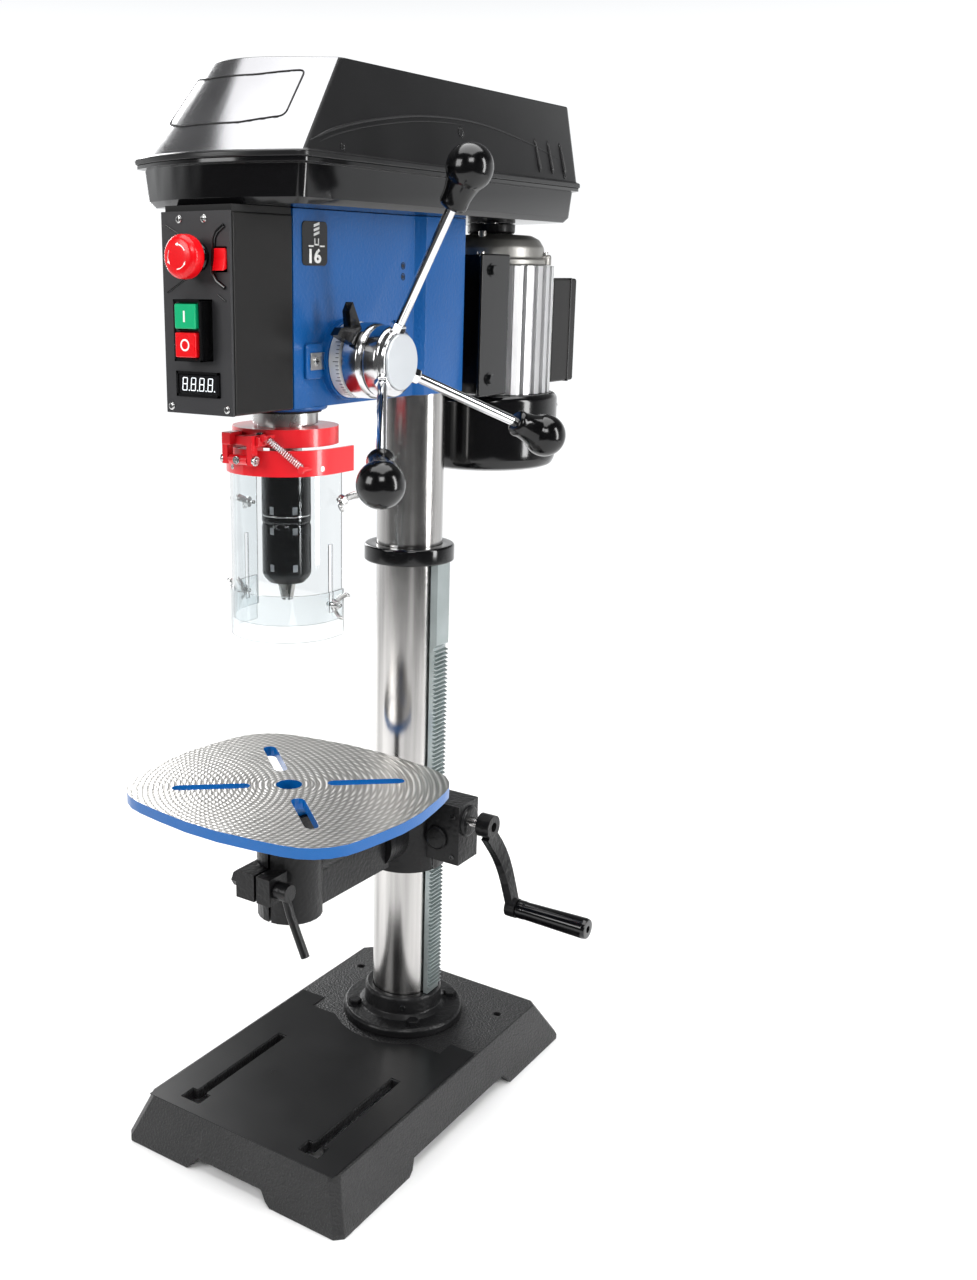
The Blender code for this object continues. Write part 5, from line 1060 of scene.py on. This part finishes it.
clear_shield = clear_finish()
red_cast = finish("red cast clamp", (0.62, 0.006, 0.012), (0.74, 0.012, 0.02), 0.3, skin=500, strength=0.12,
                  depth=0.0002, coat=0.4)
refine_all(("guard_clamp_ring", red_cast, "quill_unit", 0.9),
           ("guard_hinge_pin", screw_steel, "quill_unit", 0.3),
           ("guard_carrier", red_cast, "guard", 0.7),
           ("shield_upper", clear_shield, "guard", 0.3),
           ("shield_lower", clear_shield, "guard_skirt", 0.3))


# %% Wing nuts, screws and the spring
def wing_nut(centre, direction, tilt):
    """A cone nut with two upright ears, each ear a flattened tube on an arc."""
    u, v, w = across(direction)
    c = np.array(centre)
    span = math.cos(tilt) * u + math.sin(tilt) * v
    cone = eased([(0, 0), (5.4, 0), (3.8, 6), (0, 6)], 0.5) * MM
    shapes = [turned(cone, c, direction, 28)]
    for side in (-1, 1):
        path = smooth_path([c + (span * side * x + w * h) * MM for x, h in
                            ((1.5, 2.5), (5, 3.6), (8.6, 7), (11.2, 11.5), (10.2, 14))], 18)
        width = np.interp(np.linspace(0, 1, 18), [0, 0.25, 0.7, 0.95, 1], [2.4, 3.2, 4.0, 2.8, 0.7]) * MM
        shapes.append(tube(path, width, 14, 0.42, np.cross(span, w)))
    shapes.append(turned(np.array([(0, -6), (1.9, -6), (1.9, 6.5), (0, 6.5)]) * MM, c, direction, 16))
    return shapes


for side, label in ((-1, "left"), (1, "right")):
    out = (side, -0.25, 0)
    make(f"upper_wing_nut_{label}", wing_nut(at(side * 55.3, -200, 684 if side > 0 else 672), out, 0.5),
         screw_steel, "guard", angle=50)
    make(f"lower_wing_nut_{label}", wing_nut(at(side * 54.6, -211, 588), (side, 0, 0), 1.1), screw_steel,
         "guard_skirt", angle=50)


def spring(start, end, radius, wire, turns):
    """A helix between two points: centre line + radius*(u cos a + v sin a), drawn in at each end."""
    start, end = np.array(start), np.array(end)
    u, v, w = across(end - start)
    length = np.linalg.norm(end - start)
    s = np.linspace(0, 1, int(turns * 22))
    draw = np.clip(np.minimum(s, 1 - s) / 0.07, 0.05, 1)
    a = TAU * turns * s
    path = start + w * (s * length)[:, None] + radius * draw[:, None] * (
        u * np.cos(a)[:, None] + v * np.sin(a)[:, None])
    return tube(path, wire, 8, 1.0, w)


HINGE = np.array([-3, -273, 724])  # millimetres, as at() takes them
ring_screws = []
for angle in (247, 322, 345):
    spoke = np.array([math.cos(math.radians(angle)), math.sin(math.radians(angle)), 0])
    ring_screws.append(socket_screw(SPINDLE * (1, 1, 0) + spoke * 54.8 * MM + np.array([0, 0, 715 * MM]),
                                    spoke,
                                    2.6 * MM, 0.6 * MM))
make("carrier_rivets", ring_screws, screw_steel, "guard")
make("clamp_ring_top_screws", [socket_screw(at(HINGE[0] + x, -262, 746.2), (0, 0, 1), 3.0 * MM,
                                            1.6 * MM) for x in (-14, 14)],
     dark_steel, "quill_unit")
spring_start, spring_end = at(20, -264, 744), at(47, -245, 716)
make("guard_spring", [spring(spring_start, spring_end, 3.0 * MM, 0.55 * MM, 20)], chrome, "quill_unit",
     angle=60)
make("spring_posts", [turned(eased([(0, -10), (2.2, -10), (2.2, 3), (3.4, 3.2), (3.4, 5), (0, 5)], 0.3) * MM,
                             p, (0, -1, 0), 20)
                      for p in (spring_start, spring_end)], red_cast, "quill_unit")
hinge_heads = [socket_screw(at(*(HINGE + (side * 17.2, 0, 0))), (side, 0, 0), 4.6 * MM,
                            2.2 * MM) for side in (-1, 1)]
hinge_heads.append(socket_screw(at(*(HINGE + (0, -4.5, 0))), (0, -1, 0), 3.6 * MM, 1.4 * MM))
make("hinge_heads", hinge_heads, screw_steel, "quill_unit")
clamp_body = [slab(at(-22, -272, 736.5), at(18, -246, 745)), slab(at(-19, -279, 737), at(-9, -262, 748))]
make("clamp_ears", clamp_body, red_cast, "quill_unit", bevel=1.0 * MM)

# %% [markdown]
# ## Belt case and lid
#
# The tray and the lid are mouldings, so their frame shapes only need rounder edges. The lid's
# character is in its relief: a framed field on the sloping front, whose bright metal is a painted
# highlight on the black lid, a long swoosh on each side, three ribs near the rear and a few screws.
# Each lies on the lid's own wall: a helper sends a level ray at the wall and gives the point
# that it meets.

# %% Tray, lid and drive
refined("belt_tray", gloss_black, "frame", 1.6 * MM)
lid_fine = refined("lid", lid_plastic, "belt_lid", 3.0 * MM)
lid_tree = bmesh.new()
lid_tree.from_mesh(lid_fine.data)
lid_surface = BVHTree.FromBMesh(lid_tree)
lid_tree.free()


def on_lid(y, z, side=1):
    """The point where a level ray from outside meets the lid's side wall at this y and z."""
    start = Vector(at(side * 200, y, z))
    return np.array(lid_surface.ray_cast(start, Vector((-side, 0, 0)))[0])


def on_lid_front(x, z):
    """The point where a level ray from the front meets the lid at this x and z."""
    return np.array(lid_surface.ray_cast(Vector(at(x, -500, z)), Vector((0, 1, 0)))[0])


for name, coat, body in (("spindle_pulley", cast_alloy, "spindle_drive"),
                         ("motor_pulley", cast_alloy, "motor_rotor"),
                         ("motor_shaft", machined, "motor_rotor"), ("cooling_fan", box_black, "motor_rotor")):
    refined(name, coat, body, 0.4 * MM)
bodies = frame["record"]["behaviour"]["bodies"]
belt_body = next(body for body, nodes in bodies.items() if "v_belt" in nodes)
refined("v_belt", rubber, belt_body, 0.3 * MM)

# %% Relief on the lid
def raised_line(line, sizes, side):
    """A tapering round rib laid along (y, z) points on the lid's side wall."""
    path = np.array([on_lid(y, z, side) for y, z in line])
    steps = np.linspace(0, 1, len(path))
    return tube(path, np.interp(steps, [0, 0.12, 0.9, 1], sizes) * MM, 10, 1.0, (0, 0, 1))


relief = []
for side in (-1, 1):
    swoosh = smooth_path(np.array([(-288, 985), (-250, 997), (-190, 1009), (-110, 1019), (-20, 1021),
                                   (70, 1012),
                                   (140, 999)]), 70)
    relief.append(raised_line(swoosh, (0.3, 1.3, 0.9, 0.2), side))
    relief.append(raised_line(swoosh[4:44] - (0, 4.5), (0.1, 0.6, 0.5, 0.1), side))
    for k in range(3):
        y = 92 + 27 * k
        relief.append(raised_line([(y + (1016 - z) * 0.12, z) for z in np.linspace(983, 1016, 20)],
                                  (0.3, 2.6, 1.4, 0.2), side))
make("lid_relief", relief, lid_plastic, "belt_lid")
screws = []
for side in (-1, 1):
    for y, z, size in ((-52, 1010, 5.0), (-245, 983, 3.0), (150, 983, 3.0)):
        place = on_lid(y, z, side)
        profile = eased([(0, -1), (size, -1), (size, 0.6), (size * 0.7, 0.6), (size * 0.55, -0.4), (0, -0.4)],
                        0.3) * MM
        screws.append(turned(profile, place, (side, 0, 0.2), 24))
make("lid_screws", screws, gloss_black, "belt_lid")
# The sloping front faces get the painted highlight.
paint_by(lid_fine, lid_front_painted_highlight, lambda c, n: n.y < -0.45 and n.z > 0.25 and c.z > case_high[2] + 5 * MM)
field = [(-62, 1005), (-30, 1000), (30, 1000), (62, 1005), (58, 1043), (26, 1039), (-26, 1039), (-58, 1043)]
field = round_corners(field, 5, 8)
field = np.vstack([field, field[:1]])
run = np.arange(len(field))
fine = np.linspace(0, run[-1], 12 * len(field))
field = np.stack([np.interp(fine, run, field[:, 0]), np.interp(fine, run, field[:, 1])], -1)
path = np.array([on_lid_front(x, z) for x, z in field])
make("lid_front_frame", [tube(path, 0.8 * MM, 8, 1.0, (0, 0.4, 1))], marking_and_painted_shade, "belt_lid")

# %% [markdown]
# ## The motor
#
# The body is a ribbed extrusion and already right. The end bell is turned again finely, with its
# bolted ears and post added, and the fan cover is a pressed cap with screws; its air slots are
# thin black plates of painted shade.

# %% Motor shell
about_motor = turner((MOTOR[0], MOTOR[1], 0), (0, 0, 1), 1.5)
refined("motor_body", ribbed_alloy, "frame", 0.6 * MM)
bell = [(8.6, 893.5), (62, 893.5), (62, 899.5), (59.4, 901), (58, 912), (53, 920), (44, 924.6), (24, 926),
        (21, 928), (21, 936), (8.6, 936)]
shapes = [about_motor(bell, 2.0)]


def about_shell(radius, degrees, z):
    """A point near the motor at this radius, angle and height, with its outward direction."""
    spoke = np.array([math.cos(math.radians(degrees)), math.sin(math.radians(degrees)), 0])
    return MOTOR * (1, 1, 0) + spoke * radius * MM + np.array([0, 0, z * MM]), spoke


for k in range(4):
    ear, spoke = about_shell(59, 20 + 90 * k, 893.6)
    shapes.append(turned(eased([(0, 0), (8, 0), (8, 9), (6.5, 11), (0, 11)], 1) * MM, ear, (0, 0, 1), 32))
post, spoke = about_shell(44, -72, 920)
shapes.append(turned(eased([(0, 0), (4.5, 0), (4, 9), (0, 9)], 1) * MM, post, (0, 0, 1), 24))
make("motor_bell", shapes, cast_alloy, "frame", "motor_end_bell")
bolts = [socket_screw(about_shell(59, 20 + 90 * k, 904.4)[0], (0, 0, 1), 4.5 * MM, 3 * MM) for k in range(4)]
make("motor_bell_bolts", bolts, screw_steel, "frame")
cover = [(14, 676), (67, 676), (75, 679), (78.4, 686), (79, 694), (79, 752.5), (75, 757.5), (64, 757.5),
         (64, 755.5),
         (73.6, 755.5), (76.6, 751.5), (76.6, 694), (74, 683), (65, 678.4), (14, 678.4)]
make("fan_cap", [about_motor(cover, 2.5)], gloss_black, "frame", "fan_cover")
cap_screws = [socket_screw(*about_shell(78.9, -52 + 90 * k, 742), 3.6 * MM, 1.6 * MM) for k in range(4)]
make("fan_cap_screws", cap_screws, screw_steel, "frame")
slots = []
for k in range(24):
    angle = TAU * k / 24
    spoke = np.array([math.cos(angle), math.sin(angle), 0])
    side = np.array([-spoke[1], spoke[0], 0])
    foot = MOTOR * (1, 1, 0) + np.array([0, 0, 675.9 * MM])
    low = [foot + (spoke * r + side * s) * MM for r, s in ((24, -1.6), (50, -2.4), (50, 2.4), (24, 1.6))]
    slots.append(grid(np.array([low, [p + np.array([0, 0, 0.6 * MM]) for p in low]])))
# The air slots are thin black plates under the cap: painted shade where the slots' dark insides would be.
make("fan_cap_slots", slots, marking_and_painted_shade, "frame")

# %% Bracket, terminal box and gland
refine_all(("motor_bracket", gloss_black, "frame", 2.4),
           ("terminal_box", box_black, "frame", 3.5),
           ("cable_gland", rubber, "frame", 0.6))
bolts = []
for z in (778, 888):
    for side in (-1, 1):
        bolts += hex_head(at(side * 56, 62, z), (side, 0, 0), 5.5 * MM, 4 * MM)
make("bracket_bolts", bolts, dark_steel, "frame")
low, high = corners("terminal_box")
seam = [slab((low[0] - 0.6 * MM, high[1] - 17 * MM, low[2] - 0.6 * MM),
             (high[0] + 0.6 * MM, high[1] - 14 * MM, high[2] + 0.6 * MM))]
make("terminal_lid_seam", seam, gloss_black, "frame", bevel=0.5 * MM)
lid_bolts = [socket_screw(np.array([x, high[1] - 0.4 * MM, z]), (0, 1, 0), 3.4 * MM, 0.6 * MM)
             for x in (low[0] + 9 * MM, high[0] - 9 * MM) for z in (low[2] + 9 * MM, high[2] - 9 * MM)]
make("terminal_screws", lid_bolts, dark_steel, "frame")
collar = about_motor([(21.2, 927), (25, 927), (26, 929), (26, 936.5), (21.2, 936.5)], 0.6)
make("motor_boss_collar", [collar], black_enamel, "frame")

# %% [markdown]
# ## Camera, floor and light
#
# The machine stands on a pale floor. The room is white ahead of the camera and dim behind it, so
# polished steel shows dark bands between long highlights, which come from soft lights: a tall
# strip on the right, a square one at the front left, a key, a rim and a broad one overhead. On the
# column these bands are also painted into the steel's colour as streaks of painted reflection.

# %% Camera
FOCAL_LENGTH = 38.06
SHIFT = (0.106, 0.006)
CAMERA_PLACE = at(777, -1194, 880)
HEADING, PITCH, ROLL = (math.radians(degrees) for degrees in (35.47, 74.71, 0.19))

lens = bpy.data.cameras.new("camera")
lens.lens = FOCAL_LENGTH
lens.sensor_width = 36
lens.shift_x, lens.shift_y = SHIFT
lens.dof.use_dof = False
camera = add_object("camera", lens)
camera.location = CAMERA_PLACE
turn = Matrix.Rotation(HEADING, 3, "Z") @ Matrix.Rotation(PITCH, 3, "X") @ Matrix.Rotation(ROLL, 3, "Z")
camera.rotation_euler = turn.to_euler()
bpy.context.scene.camera = camera

# %% Floor, lights and surroundings
FLOOR_REACH = 1.9
floor_mesh = bpy.data.meshes.new("floor")
floor_corners = [(x * FLOOR_REACH, y * FLOOR_REACH, 0) for x, y in ((-1, -1), (1, -1), (1, 1), (-1, 1))]
floor_mesh.from_pydata(floor_corners, [], [(0, 1, 2, 3)])
floor_mesh.materials.append(finish("pale floor", (0.93, 0.93, 0.93), (0.95, 0.95, 0.95), 0.7, skin=40,
                                   strength=0.02, specular=0.2))
floor = add_object("floor", floor_mesh)


def soft_light(name, place, aim, size, power):
    """A rectangular area light turned towards a point."""
    data = bpy.data.lights.new(name, "AREA")
    data.shape = "RECTANGLE"
    data.size, data.size_y = size
    data.energy = power
    lamp = add_object(name, data)
    lamp.location = place
    lamp.rotation_euler = (Vector(aim) - Vector(place)).to_track_quat("-Z", "Y").to_euler()


soft_light("right strip", (2.6, 0.55, 1.2), (0, -0.1, 0.7), (0.5, 2.4), 60)
soft_light("left front", (-1.2, -3.0, 1.9), (0, -0.1, 0.7), (1.5, 1.5), 65)
soft_light("key", (1.9, -2.4, 2.6), (0, -0.1, 0.6), (1.2, 1.0), 45)
soft_light("rim", (-2.4, 1.4, 1.6), (0, 0, 0.8), (0.8, 2.2), 40)
soft_light("overhead", (0, 0, 3.2), (0, 0, 0), (2.8, 2.8), 110)

# %% A room that is white ahead of the camera and dim behind it
world = bpy.data.worlds.new("white and dim room")
world.use_nodes = True
tree = world.node_tree
place = add_node(tree, "TexCoord").outputs["Generated"]
toward = add_node(tree, "VectorMath", {1: turn @ Vector((0, 0, -1))}, operation="DOT_PRODUCT")
ramp = add_node(tree, "MapRange", {"From Min": -0.25, "From Max": 0.45, "To Min": 0.10, "To Max": 1.05})
height = add_node(tree, "SeparateXYZ")
fall = add_node(tree, "MapRange", {"From Min": 0.16, "From Max": 0.34, "To Min": 1.0, "To Max": 0.18})
strength = add_node(tree, "Math", operation="MULTIPLY")
background = tree.nodes["Background"]
connect(tree, (place, toward.inputs[0]), (toward.outputs["Value"], ramp.inputs["Value"]),
        (place, height.inputs[0]), (height.outputs["Z"], fall.inputs["Value"]),
        (ramp.outputs["Result"], strength.inputs[0]), (fall.outputs["Result"], strength.inputs[1]),
        (strength.outputs[0], background.inputs["Strength"]))
background.inputs["Color"].default_value = (0.98, 0.99, 1.0, 1)
bpy.context.scene.world = world
bpy.context.scene.view_settings.view_transform = "Standard"
